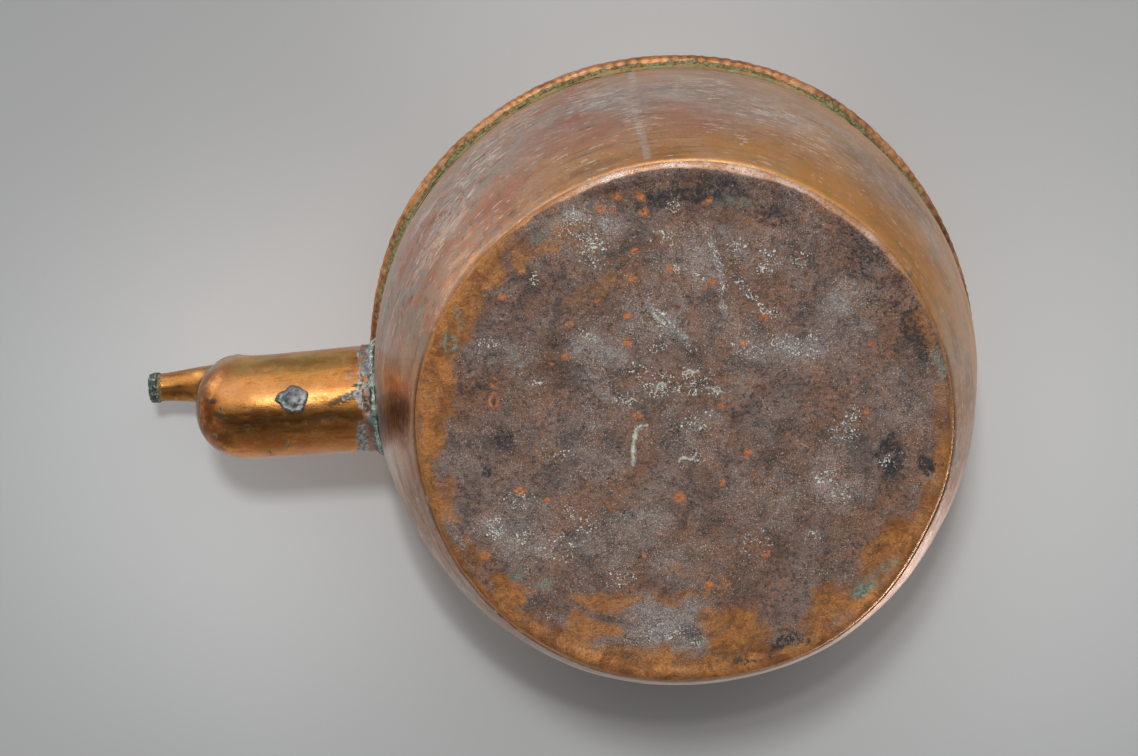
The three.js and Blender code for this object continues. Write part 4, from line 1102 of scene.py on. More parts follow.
    # the wall beside the spout's root, where the spout's reflection is painted as brown and gold waves
    near = blot(uu, vv, 399, 405, 20, 52) * (np.abs(co[:, 1]) < 60)
    wave = fbm(p * [1, 1, 0.5], 7, 3, 117)
    brown = np.maximum(brown, near * np.clip(0.15 + 1.8 * wave, 0, 0.8))
    gold = np.maximum(gold, 0.8 * near * np.clip(-2.2 * wave, 0, 1))
    polish = blot(u, v, 400, 405, 26, 84) * (np.abs(co[:, 1]) < 80)
    painted_shade = painted_shade * (1 - 0.75 * polish)
    grey = grey * (1 - 0.6 * polish)
    worn = 0.3 * (1 - ease(z, 2.7, 3.7)) * np.clip(0.75 + 0.6 * n1, 0.2, 1) * (0.50 + 0.50 * ease(np.sin(t), 0.0, 0.8)) * (1 + 0.8 * left)
    scratch = np.zeros(len(co))
    for q in (
        (480, 160, 44, 16, -45), (450, 210, 30, 14, -55), (520, 120, 40, 12, -35), (600, 100, 50, 16, -8), (700, 85, 60, 14, 4),
        (595, 163, 12, 8, 0), (715, 131, 12, 6, 0), (745, 140, 12, 6, 0), (640, 120, 26, 20, 0), (800, 130, 60, 18, 30),
        (850, 170, 40, 14, 42, 0.5), (430, 250, 16, 26, 30), (760, 110, 40, 14, 14),
    ):
        scratch = np.maximum(scratch, (q[5] if len(q) > 5 else 1.0) * blot(uu, vv, *q[:5]))
    scratch = np.maximum(scratch, 0.10 + 0.35 * n1) * (1 - 0.8 * polish)
    seam = stroke(u + 5 * n1, v, [(630, 72), (635, 110), (648, 156)], 4.0) * (np.sin(t) > 0.3) * (0.95 + 0.6 * n2)
    grey = np.clip(np.maximum(grey, seam), 0, 1)
    pale = np.clip(pale, 0, 1.2)
    lee = np.clip(0.55 + 0.5 * np.cos(t - math.radians(62)), 0, 1)
    green = ease(z, 98.4 - 2.0 * lee - 1.6 * n1, 102.4) * (0.30 + 0.60 * lee)
    for q in ((913, 272, 3, 7, 0), (921, 296, 2, 4, 0), (563, 204, 5, 3, 0), (520, 240, 4, 3, 0)):
        green = np.maximum(green, 0.62 * blot(uu, vv, *q) * (z < 100))
    root = np.hypot(co[:, 1], z - 80.1)
    green = np.maximum(green, (co[:, 0] > 60) * (1 - ease(root, 21.2 + 1.2 * n1, 23.6 + 2.0 * n1)) * 0.8)
    obj = make(
        "lower_wall", co, faces, "kettle", ["lower_body"], WALL_COPPER,
        {"cyl": cyl(co), "painted_sheen": painted_sheen, "grey": grey, "painted_shade": painted_shade, "polish": polish, "pale": pale, "gold": np.clip(gold, 0, 1), "brown": np.clip(brown, 0, 1),
         "scratch": np.clip(scratch, 0, 1), "green": np.clip(green, 0, 1), "worn": np.clip(worn, 0, 1), "red": np.clip(red + 0.25 * np.clip(n2, 0, 1), 0, 1)},
    )
    # the hole behind the spout
    cut = bmesh.new()
    bmesh.ops.create_cone(cut, cap_ends=True, segments=96, radius1=0.0178, radius2=0.0178, depth=0.05)
    cutter_mesh = bpy.data.meshes.new("cutter")
    cut.to_mesh(cutter_mesh)
    cut.free()
    cutter = bpy.data.objects.new("cutter", cutter_mesh)
    bpy.context.scene.collection.objects.link(cutter)
    cutter.matrix_world = Matrix.Translation((0.105, 0, 0.0801)) @ Matrix.Rotation(math.pi / 2, 4, "Y")
    bpy.context.view_layer.update()
    mod = obj.modifiers.new("hole", "BOOLEAN")
    mod.operation, mod.object, mod.solver = "DIFFERENCE", cutter, "EXACT"
    dg = bpy.context.evaluated_depsgraph_get()
    cut_mesh = bpy.data.meshes.new_from_object(obj.evaluated_get(dg))
    obj.modifiers.clear()
    old = obj.data
    obj.data = cut_mesh
    cut_mesh.name = "lower_wall"
    bpy.data.meshes.remove(old)
    bpy.data.objects.remove(cutter)
    bpy.data.meshes.remove(cutter_mesh)
    return obj


lower_wall()

# ------------------------------------------------------------------ seam ring and its corner


def seam_band():
    corner = [
        [109.45, 100.7], [111.2, 100.75], [112.7, 101.05], [113.35, 102.0], [113.5, 103.2], [113.3, 104.5],
        [112.3, 105.45], [110.6, 105.75], [109.45, 105.8],
    ]
    profile = rounded(corner, 0.30, 2)

    def move(t, r, z, row):
        out = ease(r, 110.2, 113.0)
        q = t * 113.4
        p = np.stack([np.cos(t) * 113, np.sin(t) * 113, z], 1)
        # hammer blows along the edge, unevenly spaced
        phase = q / 3.9 + 0.9 * noise(np.stack([q / 11, 0 * q, 0 * q], 1), 121)
        k = np.floor(phase)
        f = phase - k
        depth = 0.25 + 0.75 * _hash((k.astype(np.int64) % 230).astype(np.uint32), np.uint32(3), np.uint32(5), 7)
        notch = (0.5 - 0.5 * np.cos(2 * np.pi * f)) * depth
        r = r + brim_line(t) - out * 0.26 * notch + out * 0.16 * fbm(p, 2.6, 3, 122)
        z = z + out * (0.30 * fbm(p, 12, 2, 123) + 0.16 * fbm(p, 3.2, 2, 124))
        return r, z

    co, faces, t = revolve(profile, 1600, move)
    r = np.hypot(co[:, 0], co[:, 1]) - brim_line(t)
    n1 = fbm(co, 14, 4, 131)
    lee = np.clip(0.5 + 0.5 * np.cos(t - math.radians(70)), 0, 1)
    inner = 1 - ease(r, 110.8 + 0.6 * n1, 112.4 + 0.6 * n1)
    q = t * 113.4
    phase = q / 3.9 + 0.9 * noise(np.stack([q / 11, 0 * q, 0 * q], 1), 121)
    gap = (0.5 - 0.5 * np.cos(2 * np.pi * (phase - np.floor(phase)))) ** 1.5
    fleck = fbm(np.stack([np.cos(t) * 113, np.sin(t) * 113, 0 * t], 1), 7, 2, 133)
    green = inner * (0.42 + 0.25 * lee) + 0.16 * gap * (0.4 + n1) + 0.46 * ease(fleck, 0.20, 0.34) * (1.10 - lee)
    # the random brown is deepened in the hammer notches as painted shade and thinned on the outermost edge as a painted
    # highlight
    brown = np.clip(0.06 + 0.50 * gap + 0.7 * n1 + 0.2 * (1 - lee), 0, 1) * (1 - 0.35 * ease(r, 112.6, 113.3))
    green = np.clip(green, 0, 1)
    make(
        "seam_band", co, faces, "kettle", ["shoulder_seam_ring"], RING_COPPER,
        {"cyl": cyl(co), "green": green, "brown": brown},
    )


def seam_corner(name, low, high, flip):
    """Old solder and green dirt that fills the corner between wall and ring."""
    rows = 9
    t = np.arange(1300) * 2 * np.pi / 1300
    ring = np.stack([np.cos(t) * 110, np.sin(t) * 110, 0 * t], 1)
    width = np.clip(0.52 + 0.5 * fbm(ring, 16, 3, 141 + flip) + 0.35 * fbm(ring, 2.4, 2, 142), 0.2, 1.3)
    lee = np.clip(0.55 + 0.45 * np.cos(t - math.radians(62)), 0.2, 1)
    width = width * (0.6 + 0.7 * lee)
    shift = brim_line(t)
    co = []
    for k in range(rows):
        f = k / (rows - 1)
        a = f * math.pi / 2
        # from the wall's face round to the ring's face
        r = low[0] + (1 - math.cos(a)) * 1.25 * width
        z = low[1] - flip * (1 - math.sin(a)) * 2.0 * width
        co.append(np.stack([(r + shift) * np.cos(t), (r + shift) * np.sin(t), z], 1))
    r, z = np.full_like(t, high[0]), np.full_like(t, high[1])
    co.append(np.stack([(r + shift) * np.cos(t), (r + shift) * np.sin(t), z], 1))
    co = np.vstack(co)
    d = fbm(co, 1.9, 3, 144)
    rr = np.hypot(co[:, 0], co[:, 1])
    co[:-1300, 0] += (co[:, 0] / rr * 0.22 * d)[:-1300]
    co[:-1300, 1] += (co[:, 1] / rr * 0.22 * d)[:-1300]
    make(
        name, co, grid_faces(rows + 1, 1300, wrap_rows=True), "kettle", (), CORNER,
        {"crust": np.clip(0.5 + fbm(co, 12, 3, 145), 0, 1)},
    )


def corner_material():
    s = Shade("corner_verdigris")
    o = s.coord
    mid = s.noise(o, 150, 6, 0.66, 0.5)
    fine = s.noise(o, 950, 4, 0.66)
    c = s.mix(s.span(mid, 0.40, 0.60), (0.230, 0.190, 0.062), (0.290, 0.315, 0.140))
    c = s.mix(s.mul(s.span(fine, 0.54, 0.68), 0.5), c, (0.420, 0.470, 0.330))
    c = s.mix(s.mul(s.span(s.noise(o, 110, 7, 0.72), 0.46, 0.54), 0.85), c, (0.460, 0.240, 0.095))
    c = s.mix(s.mul(s.span(fine, 0.46, 0.30), 0.6), c, (0.025, 0.022, 0.012))
    n = s.bump(mid, 0.0010, 0.6)
    n = s.bump(fine, 0.0003, 0.8, n)
    return s.finish(c, s.span(fine, 0.3, 0.7, 0.6, 0.85), s.span(mid, 0.3, 0.7, 0.3, 0.05), n)


CORNER = corner_material()
seam_band()
seam_corner("seam_corner_lower", (109.2, 100.75), (109.0, 101.4), 1)
seam_corner("seam_corner_upper", (108.9, 105.8), (108.6, 105.2), -1)

# ------------------------------------------------------------------ shoulder and neck

DOME = [
    [108.9, 103.2], [108.2, 108], [105.4, 113.6], [100, 119.6], [92, 125.3], [82, 130.3], [70, 134.6], [60, 137.2],
    [49.1, 139.4],
]


def shoulder_shell():
    outer = smooth_line(DOME, 0.9)
    inner = offset(smooth_line(DOME, 3.0), 1.6)
    inner[0], inner[-1] = [107.3, 103.2], [49.1, 137.8]
    profile = np.vstack([outer, inner[::-1]])
    n_out = len(outer)

    def move(t, r, z, row):
        p = np.stack([np.cos(t) * r, np.sin(t) * r, z], 1)
        f1, _, _ = cells(p, 13, 151)
        skin = (row < n_out) * ease(r, 50, 56)
        z = z + skin * (0.14 * fbm(p, 30, 3, 152) + 0.12 * (f1 - 0.55))
        return r + body_shift(t, z) * ease(r, 60, 105), z

    co, faces, t = revolve(profile, 720, move)
    r = np.hypot(co[:, 0], co[:, 1])
    p = np.stack([np.cos(t) * 100, np.sin(t) * 100, co[:, 2]], 1)
    n1 = fbm(co, 26, 4, 155)
    n2 = fbm(p * [1, 1, 2.4], 20, 4, 156)
    ears = np.minimum(
        np.hypot(np.maximum(np.abs(np.abs(co[:, 0]) - 70.5) - 10, 0), np.maximum(np.abs(co[:, 1]) - 16, 0)), 60
    )
    green = np.maximum(
        np.maximum(0.85 * (1 - ease(ears, 0.8, 4.5 + 2.5 * n1)), 0.9 * (1 - ease(r, 53 + n1, 57.5 + 2.5 * n1))),
        ease(r, 107.6, 109.2) * (0.55 + 0.5 * n1),
    )
    brown = np.clip(0.30 + 0.9 * n1 + 0.5 * n2, 0, 1) * 0.8
    make(
        "shoulder_shell", co, faces, "kettle", ["shoulder"], SHOULDER_COPPER,
        {"cyl": cyl(co), "green": np.clip(green, 0, 1), "brown": brown},
    )


def neck_ring():
    corner = [
        [47.0, 136.6], [48.6, 136.5], [48.6, 139.8], [53.2, 139.75], [53.3, 140.9], [49.6, 141.5], [48.7, 143.0],
        [48.6, 146.3], [49.8, 146.8], [50.7, 148.2], [50.0, 149.6], [48.6, 150.0], [47.2, 149.6], [46.5, 148.4],
        [47.0, 146.8],
    ]
    profile = rounded(corner, 0.45, 2)

    def move(t, r, z, row):
        p = np.stack([np.cos(t) * r, np.sin(t) * r, z], 1)
        return r + 0.07 * fbm(p, 8, 3, 161), z + 0.05 * fbm(p, 10, 2, 162)

    co, faces, t = revolve(profile, 540, move)
    n1 = fbm(co, 12, 4, 165)
    z = co[:, 2]
    green = np.clip((1 - ease(z, 140.4 + n1, 142.6 + n1)) * 0.8 + 0.25 * n1 - 0.1, 0, 1)
    brown = np.clip(0.25 + 1.1 * n1, 0, 1)
    make(
        "neck_ring", co, faces, "kettle", ["lid_neck"], SHOULDER_COPPER,
        {"cyl": cyl(co), "green": green, "brown": brown},
    )


shoulder_shell()
neck_ring()

# ------------------------------------------------------------------ spout

SPOUT = np.array([
    [98, 99.4, 98, 60.8, 19.4], [112, 99.3, 112, 60.9, 19.3], [124, 99.1, 126, 61.0, 19.2], [134, 98.8, 142, 61.1, 19.0],
    [141, 98.8, 155.5, 61.3, 18.9], [145, 99.6, 166.4, 63.6, 18.8], [147.6, 101.2, 172.6, 69.2, 18.4],
    [149.2, 103.4, 175.2, 77.0, 17.6], [150.6, 106.2, 175.6, 85.4, 15.8], [152.2, 109.8, 175.0, 93.4, 13.9],
    [154.8, 114.4, 174.4, 101, 12.0], [158.8, 119.4, 175.2, 108, 10.6], [164.6, 124.2, 177.6, 113.6, 8.9],
    [172.0, 127.8, 181.6, 117.2, 7.5], [180.4, 129.6, 186.6, 119.0, 6.5], [189.6, 129.9, 192.8, 119.6, 5.6],
    [199.5, 129.6, 199.5, 119.4, 5.1],
])


def station(u):
    """The stations' values at positions u along the spout, as a smooth curve."""
    u = np.clip(np.asarray(u, float), 0, len(SPOUT) - 1)
    i = np.minimum(u.astype(int), len(SPOUT) - 2)
    f = (u - i)[:, None]
    ext = np.vstack([2 * SPOUT[0] - SPOUT[1], SPOUT, 2 * SPOUT[-1] - SPOUT[-2]])
    p0, p1, p2, p3 = (ext[i + k] for k in range(4))
    t0, t1 = (p2 - p0) / 2, (p3 - p1) / 2
    return (2 * f**3 - 3 * f**2 + 1) * p1 + (f**3 - 2 * f**2 + f) * t0 + (3 * f**2 - 2 * f**3) * p2 + (f**3 - f**2) * t1


def spout_points(u, phi, grow):
    """Points on the spout at station u, angle phi (0 at the heel) and grow millimetres off its skin."""
    s = station(u)
    throat, heel, half = s[:, 0:2], s[:, 2:4], s[:, 4]
    c = (throat + heel) / 2
    d = heel - throat
    a = np.linalg.norm(d, axis=1) / 2
    d = d / (2 * a[:, None])
    k = (a + grow) * np.cos(phi)
    return np.stack([c[:, 0] + d[:, 0] * k, (half + grow) * np.sin(phi), c[:, 1] + d[:, 1] * k], 1)


def spout_grid(rows, cols):
    """rows are (station, growth); a closed loop of them makes a tube with walls."""
    rows = np.array(rows, float)
    phi = np.arange(cols) * 2 * np.pi / cols
    u = np.repeat(rows[:, 0], cols)
    g = np.repeat(rows[:, 1], cols)
    return u, np.tile(phi, len(rows)), g


def ramp_rows(u0, u1, n, grow):
    return [(u0 + (u1 - u0) * i / n, grow) for i in range(n + 1)]


def spout_tube(name, node, u0, u1, n, cols, wall, material, seed):
    rows = ramp_rows(u0, u1, n, 0.0) + ramp_rows(u1, u0, n // 4, -wall)
    u, phi, g = spout_grid(rows, cols)
    skin = g > -0.1
    base = spout_points(u, phi, g)
    dents = 0.16 * fbm(base, 22, 3, seed) + 0.05 * fbm(base, 6, 2, seed + 1)
    f1, _, _ = cells(base, 9, seed + 2)
    dents = dents + 0.07 * (f1 - 0.5)
    ends = ease(u, u0, u0 + 0.3) * (1 - ease(u, u1 - 0.3, u1))
    co = spout_points(u, phi, g + skin * dents * ends)
    px, py = pixels(co)
    n1, n2 = fbm(co, 9, 4, seed + 5), fbm(co + 30, 9, 4, seed + 6)
    x, y = px + 3.5 * n1, py + 3.5 * n2
    under = ease(np.cos(phi), -0.6, 0.2)
    grime = np.maximum.reduce([
        0.15 * stroke(x + 2 * n2, y + 3 * n2, [(212, 413), (226, 417), (246, 425), (262, 423), (290, 418), (354, 413)], 2.3),
        blot(x, y, 213, 400, 3.6, 3.0), blot(x, y, 248, 427, 3.4, 3.0), blot(x, y, 288, 427, 2.6, 2.4),
        0.9 * stroke(x, y, [(330, 402), (342, 397), (360, 395)], 3.2),
        0.6 * blot(x, y, 222, 416, 9, 5, 20), 0.35 * blot(x, y, 330, 420, 24, 5, 0),
    ]) * under
    green = np.maximum.reduce([
        0.55 * blot(x, y, 222, 408, 7, 3, 40), 0.6 * blot(x, y, 214, 437, 4, 5, 0), 0.5 * blot(x, y, 288, 446, 3, 10, 0),
        0.30 * stroke(x, y, [(240, 426), (300, 422), (350, 418)], 2.4), 0.45 * blot(x, y, 268, 452, 5, 3, 0),
        0.75 * blot(x, y, 357, 386, 9, 2.6, -6),
    ]) * under
    brown = np.clip(0.22 + 0.9 * n1, 0, 1) * 0.5
    # brown patina deepened as painted shade and painted reflection: on the tube's lower side, along its underside,
    # faintly along its upper side and on the elbow's end
    low = blot(x, y, 280, 432, 100, 22, 0) * under
    brown = np.maximum(brown, 0.46 * low)
    brown = np.maximum(brown, 0.70 * blot(x, y, 285, 417, 95, 13, -2) * under)
    brown = np.maximum(brown, 0.35 * blot(x, y, 300, 366, 80, 9, -6) * under)
    brown = np.maximum(brown, 0.80 * blot(x, y, 204, 410, 15, 50, 6) * under)
    brown = np.maximum(brown, 0.75 * blot(x, y, 222, 440, 16, 14, 30) * under)
    # painted highlights: a pale band along the tube's upper half and pale spots near the elbow and the collar
    pale = 0.30 * blot(x, y, 290, 392, 80, 10, -2) * under + 0.75 * blot(x, y, 230, 391, 12, 6, 0) * under
    pale = np.maximum(pale, 1.0 * blot(x, y, 349, 375, 5, 7, 0) * under)
    olive = 0.9 * blot(x, y, 285, 364, 95, 12, -5) * under
    red = np.maximum.reduce([
        0.8 * blot(x, y, 222, 372, 22, 6, -22), 1.0 * blot(x, y, 208, 425, 18, 40, 8), 0.8 * blot(x, y, 280, 444, 70, 9, -3), 0.7 * blot(x, y, 345, 440, 22, 14, 0),
        0.6 * blot(x, y, 340, 388, 20, 8, 0),
    ]) * under
    tin = np.clip(1.25 - np.abs(px + 2.0 * n1 - 364) / 12.0, 0, 1) * (0.75 + 0.55 * n2)
    tin = np.maximum(tin, 0.75 * stroke(x, y, [(336, 399), (350, 395), (362, 396)], 4.0) * under)
    tin = np.where((np.abs(u - 2) < 2.5) & (co[:, 0] < 120), tin, 0)
    tin = np.maximum(tin, (1 - ease(co[:, 0], 111.0 + 3.2 * n1, 116.0 + 3.2 * n2)) * 0.72)
    if seed > 200:
        brown = np.maximum(brown, 0.45 * blot(x, y, 182, 398, 34, 6, -4) + 0.12)
        green = np.maximum(green, 0.8 * ease(u, 15.0, 15.6))
    # a dark line along the tube's underside: a stain, in part a painted dark reflection
    stain_and_painted_reflection = np.maximum.reduce([
        0.95 * stroke(x, y + 2 * n2, [(216, 414), (230, 418), (246, 423), (268, 421), (300, 418), (354, 413)], 4.2),
        0.9 * blot(x, y, 248, 426, 5, 3.6), 0.8 * blot(x, y, 288, 427, 3.4, 3.0), 0.55 * blot(x, y, 226, 416, 14, 7, 20),
        0.45 * blot(x, y, 300, 414, 60, 6, -2), 0.35 * blot(x, y, 290, 362, 60, 5, -6),
    ]) * under
    run = np.stack([u * 0.010, np.cos(phi) * 0.019, np.sin(phi) * 0.019], 1)
    make(
        name, co, grid_faces(len(rows), cols, wrap_rows=True), "kettle", [node], material,
        {"run": run, "grime": grime, "green": green, "brown": np.clip(brown, 0, 1), "pale": np.clip(pale, 0, 1),
         "tin": np.clip(tin, 0, 1), "olive": np.clip(olive, 0, 1), "red": np.clip(red, 0, 1), "stain_and_painted_reflection": np.clip(stain_and_painted_reflection, 0, 1)},
    )


def spout_bead(name, node, rows, cols, material, lump, seed, size=2.2, uneven=0.0):
    """A band of solder or crust round the spout."""
    rows = [(a, b) for a, b in rounded(rows, 0.03, 2)] if len(rows) < 12 else rows
    u, phi, g = spout_grid(rows, cols)
    base = spout_points(u, phi, g)
    outer = ease(g, 0.2, 0.8)
    g2 = g + outer * (lump * fbm(base, size, 3, seed))
    u2 = u + outer * uneven * fbm(base + 20, 5.0, 2, seed + 3)
    co = spout_points(u2, phi, g2)
    make(
        name, co, grid_faces(len(rows), cols, wrap_rows=True), "kettle", [node], material,
        {"crust": np.clip(0.4 + fbm(co, 6, 3, seed + 7), 0, 1)},
    )


def root_collar():
    """Lumpy solder between the wall and the tube, with a thin tongue that runs out along the tube."""
    cols, rows = 360, 46
    phi = np.tile(np.arange(cols) * 2 * np.pi / cols, rows)
    f = np.repeat(np.linspace(0, 1, rows), cols)
    round_ = np.stack([np.cos(phi) * 20, np.sin(phi) * 20, 0 * phi], 1)
    reach = 112.6 + 1.5 * fbm(round_, 9, 3, 171) + 0.7 * fbm(round_, 3, 2, 172)
    reach = reach + 1.2 * ease(np.abs(np.sin(phi)), 0.75, 1.0)
    foot = 22.2 + 1.3 * fbm(round_, 8, 3, 173) + 0.5 * fbm(round_, 2.6, 2, 174)
    # below the ring there's less room on the upper side
    foot = np.minimum(foot, np.where(np.cos(phi) > 0.8, 20.1, 30))
    rho = foot + (19.40 - foot) * np.sin(np.minimum(f * 1.55, 1) * np.pi / 2) ** 0.8
    rho = rho + 0.85 * np.exp(-(((f - 0.34) / 0.17) ** 2)) + 0.26 * (1 - ease(f, 0.90, 1.0))
    y, z = rho * np.sin(phi), 80.1 + rho * np.cos(phi)
    wall_r = np.interp(z, [40, 63, 74, 84, 93, 103], [103.6, 108.2, 109.4, 109.8, 109.5, 108.9]) + body_shift(
        np.arctan2(y, 108.0), z
    )
    on_wall = np.sqrt(np.maximum(wall_r**2 - y**2, 0)) - 0.25
    x = on_wall + (reach - on_wall) * f**1.25
    p = np.stack([x, y, z], 1)
    lump = 0.50 * fbm(p, 4.2, 3, 175) + 0.20 * fbm(p, 1.5, 2, 176)
    lump = lump * ease(f, 0.0, 0.08) * (1 - ease(f, 0.93, 1.0))
    rho2 = rho + lump
    y, z = rho2 * np.sin(phi), 80.1 + rho2 * np.cos(phi)
    x = x + 0.35 * fbm(p + 11, 4, 2, 177) * ease(f, 0.05, 0.3) * (1 - ease(f, 0.9, 1))
    outer = np.stack([x, y, z], 1)
    inner = []
    for xx, rr in ((113.5, 18.9), (110.5, 18.8)):
        q = np.arange(cols) * 2 * np.pi / cols
        inner.append(np.stack([np.full(cols, xx), rr * np.sin(q), 80.1 + rr * np.cos(q)], 1))
    co = np.vstack([outer, *inner])
    px, py = pixels(co)
    crust = 1.25 * np.exp(-(((np.concatenate([f, np.zeros(2 * cols)]) - 0.28) / 0.22) ** 2)) + 0.55 * fbm(co, 5, 3, 178)
    crust = np.maximum(crust, 0.9 * stroke(px, py, [(368, 384), (352, 388)], 4))
    crust = np.clip(np.maximum(crust, 0.85 * blot(px, py, 384, 452, 7, 18, -12)), 0, 1)
    make(
        "spout_root_collar", co, grid_faces(rows + 2, cols, wrap_rows=True), "kettle", ["spout_root_solder"],
        SOLDER, {"crust": crust, "thin": ease(np.concatenate([f, np.zeros(2 * cols)]) + 0.16 * fbm(co, 6, 3, 179), 0.50, 0.80)},
    )


def repair_patch():
    """A lozenge of lead on the underside of the tube."""
    n = 54
    a = np.linspace(-1, 1, n + 1)
    A, B = np.meshgrid(a, a, indexing="ij")
    a_, b_ = A.ravel(), B.ravel()
    # square grid bent into a rounded lozenge
    r = np.maximum(np.abs(a_), np.abs(b_))
    ang = np.arctan2(b_, a_)
    shape = 1.0 / (np.abs(np.cos(ang)) ** 1.55 + np.abs(np.sin(ang)) ** 1.55) ** (1 / 1.55)
    shape = shape * (1 + 0.07 * np.sin(3 * ang + 1.0) + 0.05 * np.sin(5 * ang) + 0.03 * np.sin(9 * ang + 2))
    px, py = 6.0 * r * shape * np.cos(ang), 5.2 * r * shape * np.sin(ang)
    height = 1.55 * (1 - r**2.6) ** 0.6
    q = np.stack([px, py, 0 * px], 1)
    height = height + (1 - ease(r, 0.85, 1.0)) * (0.30 * fbm(q, 3.0, 3, 181) - 0.35 * np.exp(-((r - 0.55) / 0.22) ** 2))
    height = height + 0.30 * np.exp(-((r - 0.82) / 0.10) ** 2) * (px - py > -2)
    turn = math.radians(19)
    rad = 19.2 + height
    ang2 = py / 19.2 + turn
    top = np.stack([137.4 + px, rad * np.sin(ang2), 80.3 - rad * np.cos(ang2)], 1)
    rad = 18.6 + 0 * height
    low = np.stack([137.4 + px * 0.97, rad * np.sin(ang2), 80.3 - rad * np.cos(ang2)], 1)
    quads = grid_faces(n + 1, n + 1, wrap_cols=False)
    number = np.arange((n + 1) ** 2).reshape(n + 1, n + 1)
    rim = np.concatenate([number[:-1, 0], number[-1, :-1], number[:0:-1, -1], number[0, :0:-1]])
    base = (n + 1) ** 2
    side = np.stack([rim, np.roll(rim, -1), np.roll(rim, -1) + base, rim + base], 1)
    co = np.vstack([top, low])
    # the two sheets face away from each other
    t1, t2 = quads, quads[:, ::-1] + base
    first = side[0]
    edge_dir = {(int(q[i]), int(q[(i + 1) % 4])) for q in t1[:] for i in range(4) if q[i] in (first[0], first[1])}
    if (int(first[0]), int(first[1])) in edge_dir:
        side = side[:, ::-1]
    make(
        "spout_repair", co, np.vstack([t1, t2, side]), "kettle", ["spout_patch"], LEAD,
        {"crust": np.clip(fbm(co, 4, 3, 182), 0, 1)},
    )


spout_tube("spout_tube", "spout_lower", 0.74, 8.56, 210, 168, 1.6, SPOUT_COPPER, 190)
spout_tube("spout_swan", "spout_beak", 8.64, 15.55, 170, 120, 1.2, SPOUT_COPPER, 210)
spout_bead(
    "spout_joint_bead", "spout_joint_solder",
    [(8.22, 0.05), (8.34, 0.85), (8.48, 1.15), (8.74, 1.2), (8.92, 0.8), (9.02, 0.05), (8.80, -0.4), (8.42, -0.4)],
    260, JOINT, 0.28, 221, 2.4, 0.05,
)
spout_bead(
    "spout_lip", "spout_tip_rim",
    [(15.52, -1.05), (15.50, 0.1), (15.60, 0.62), (15.80, 0.66), (15.95, 0.40), (16.0, -0.2), (15.98, -1.0)],
    240, CRUST, 0.50, 231, 1.9, 0.10,
)
root_collar()
repair_patch()

# ------------------------------------------------------------------ ears, bail and their hardware


def organic(name, source, voxel, body, replaces, material, smooth=6, hammer=0.12, size=7.0, seed=0, cut=None):
    """A forged piece: the source's volume with soft edges and hammer marks."""
    mod = source.modifiers.new("skin", "REMESH")
    mod.mode, mod.voxel_size = "VOXEL", voxel * MM
    dg = bpy.context.evaluated_depsgraph_get()
    mesh = bpy.data.meshes.new_from_object(source.evaluated_get(dg))
    old = source.data
    bpy.data.objects.remove(source)
    bpy.data.meshes.remove(old)
    bm = bmesh.new()
    bm.from_mesh(mesh)
    for _ in range(smooth):
        bmesh.ops.smooth_vert(bm, verts=bm.verts, factor=0.5, use_axis_x=True, use_axis_y=True, use_axis_z=True)
    bm.normal_update()
    bm.to_mesh(mesh)
    bm.free()
    count = len(mesh.vertices)
    co = np.zeros(count * 3)
    mesh.vertices.foreach_get("co", co)
    co = co.reshape(-1, 3) / MM
    nor = np.zeros(count * 3)
    mesh.vertices.foreach_get("normal", nor)
    nor = nor.reshape(-1, 3)
    f1, _, _ = cells(co, size, seed)
    d = hammer * (f1 - 0.62) * 1.2 + 0.4 * hammer * fbm(co, size * 1.6, 3, seed + 3) - 0.02
    co = co + nor * np.minimum(d, 0.12)[:, None]
    mesh.vertices.foreach_set("co", (co * MM).astype(np.float32).ravel())
    mesh.materials.clear()
    mesh.materials.append(material)
    mesh.polygons.foreach_set("use_smooth", np.ones(len(mesh.polygons), bool))
    g = np.clip(0.15 + 0.9 * fbm(co, 11, 4, seed + 8), 0, 1)
    if cut is not None:
        g = np.maximum(g, cut(co))
    mesh.attributes.new("green", "FLOAT", "POINT").data.foreach_set("value", g.astype(np.float32))
    mesh.update()
    obj = bpy.data.objects.new(name, mesh)
    mesh.name = name
    bpy.context.scene.collection.objects.link(obj)
    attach(obj, body)
    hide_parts(*replaces)
    return obj


def copy_of(node):
    """A loose copy of a CAD node's mesh, as raw material for a piece."""
    o = bpy.data.objects.new("raw", NODES[node].data.copy())
    bpy.context.scene.collection.objects.link(o)
    bpy.context.view_layer.update()
    return o


def raw_mesh(co, faces, caps=()):
    mesh = bpy.data.meshes.new("raw")
    mesh.from_pydata((np.asarray(co) * MM).tolist(), [], np.asarray(faces).tolist() + [list(c) for c in caps])
    o = bpy.data.objects.new("raw", mesh)
    bpy.context.scene.collection.objects.link(o)
    bpy.context.view_layer.update()
    return o


for side, node in ((1, "front_ear"), (-1, "rear_ear")):
    organic(
        node.replace("ear", "lug"), copy_of(node), 0.42, "kettle", [node], FORGED_COPPER,
        smooth=4, hammer=0.16, size=5.5, seed=300 + side,
        cut=lambda co: 0.44 * (1 - ease(co[:, 2] - 0.02 * np.abs(co[:, 0]), 132, 136)),
    )


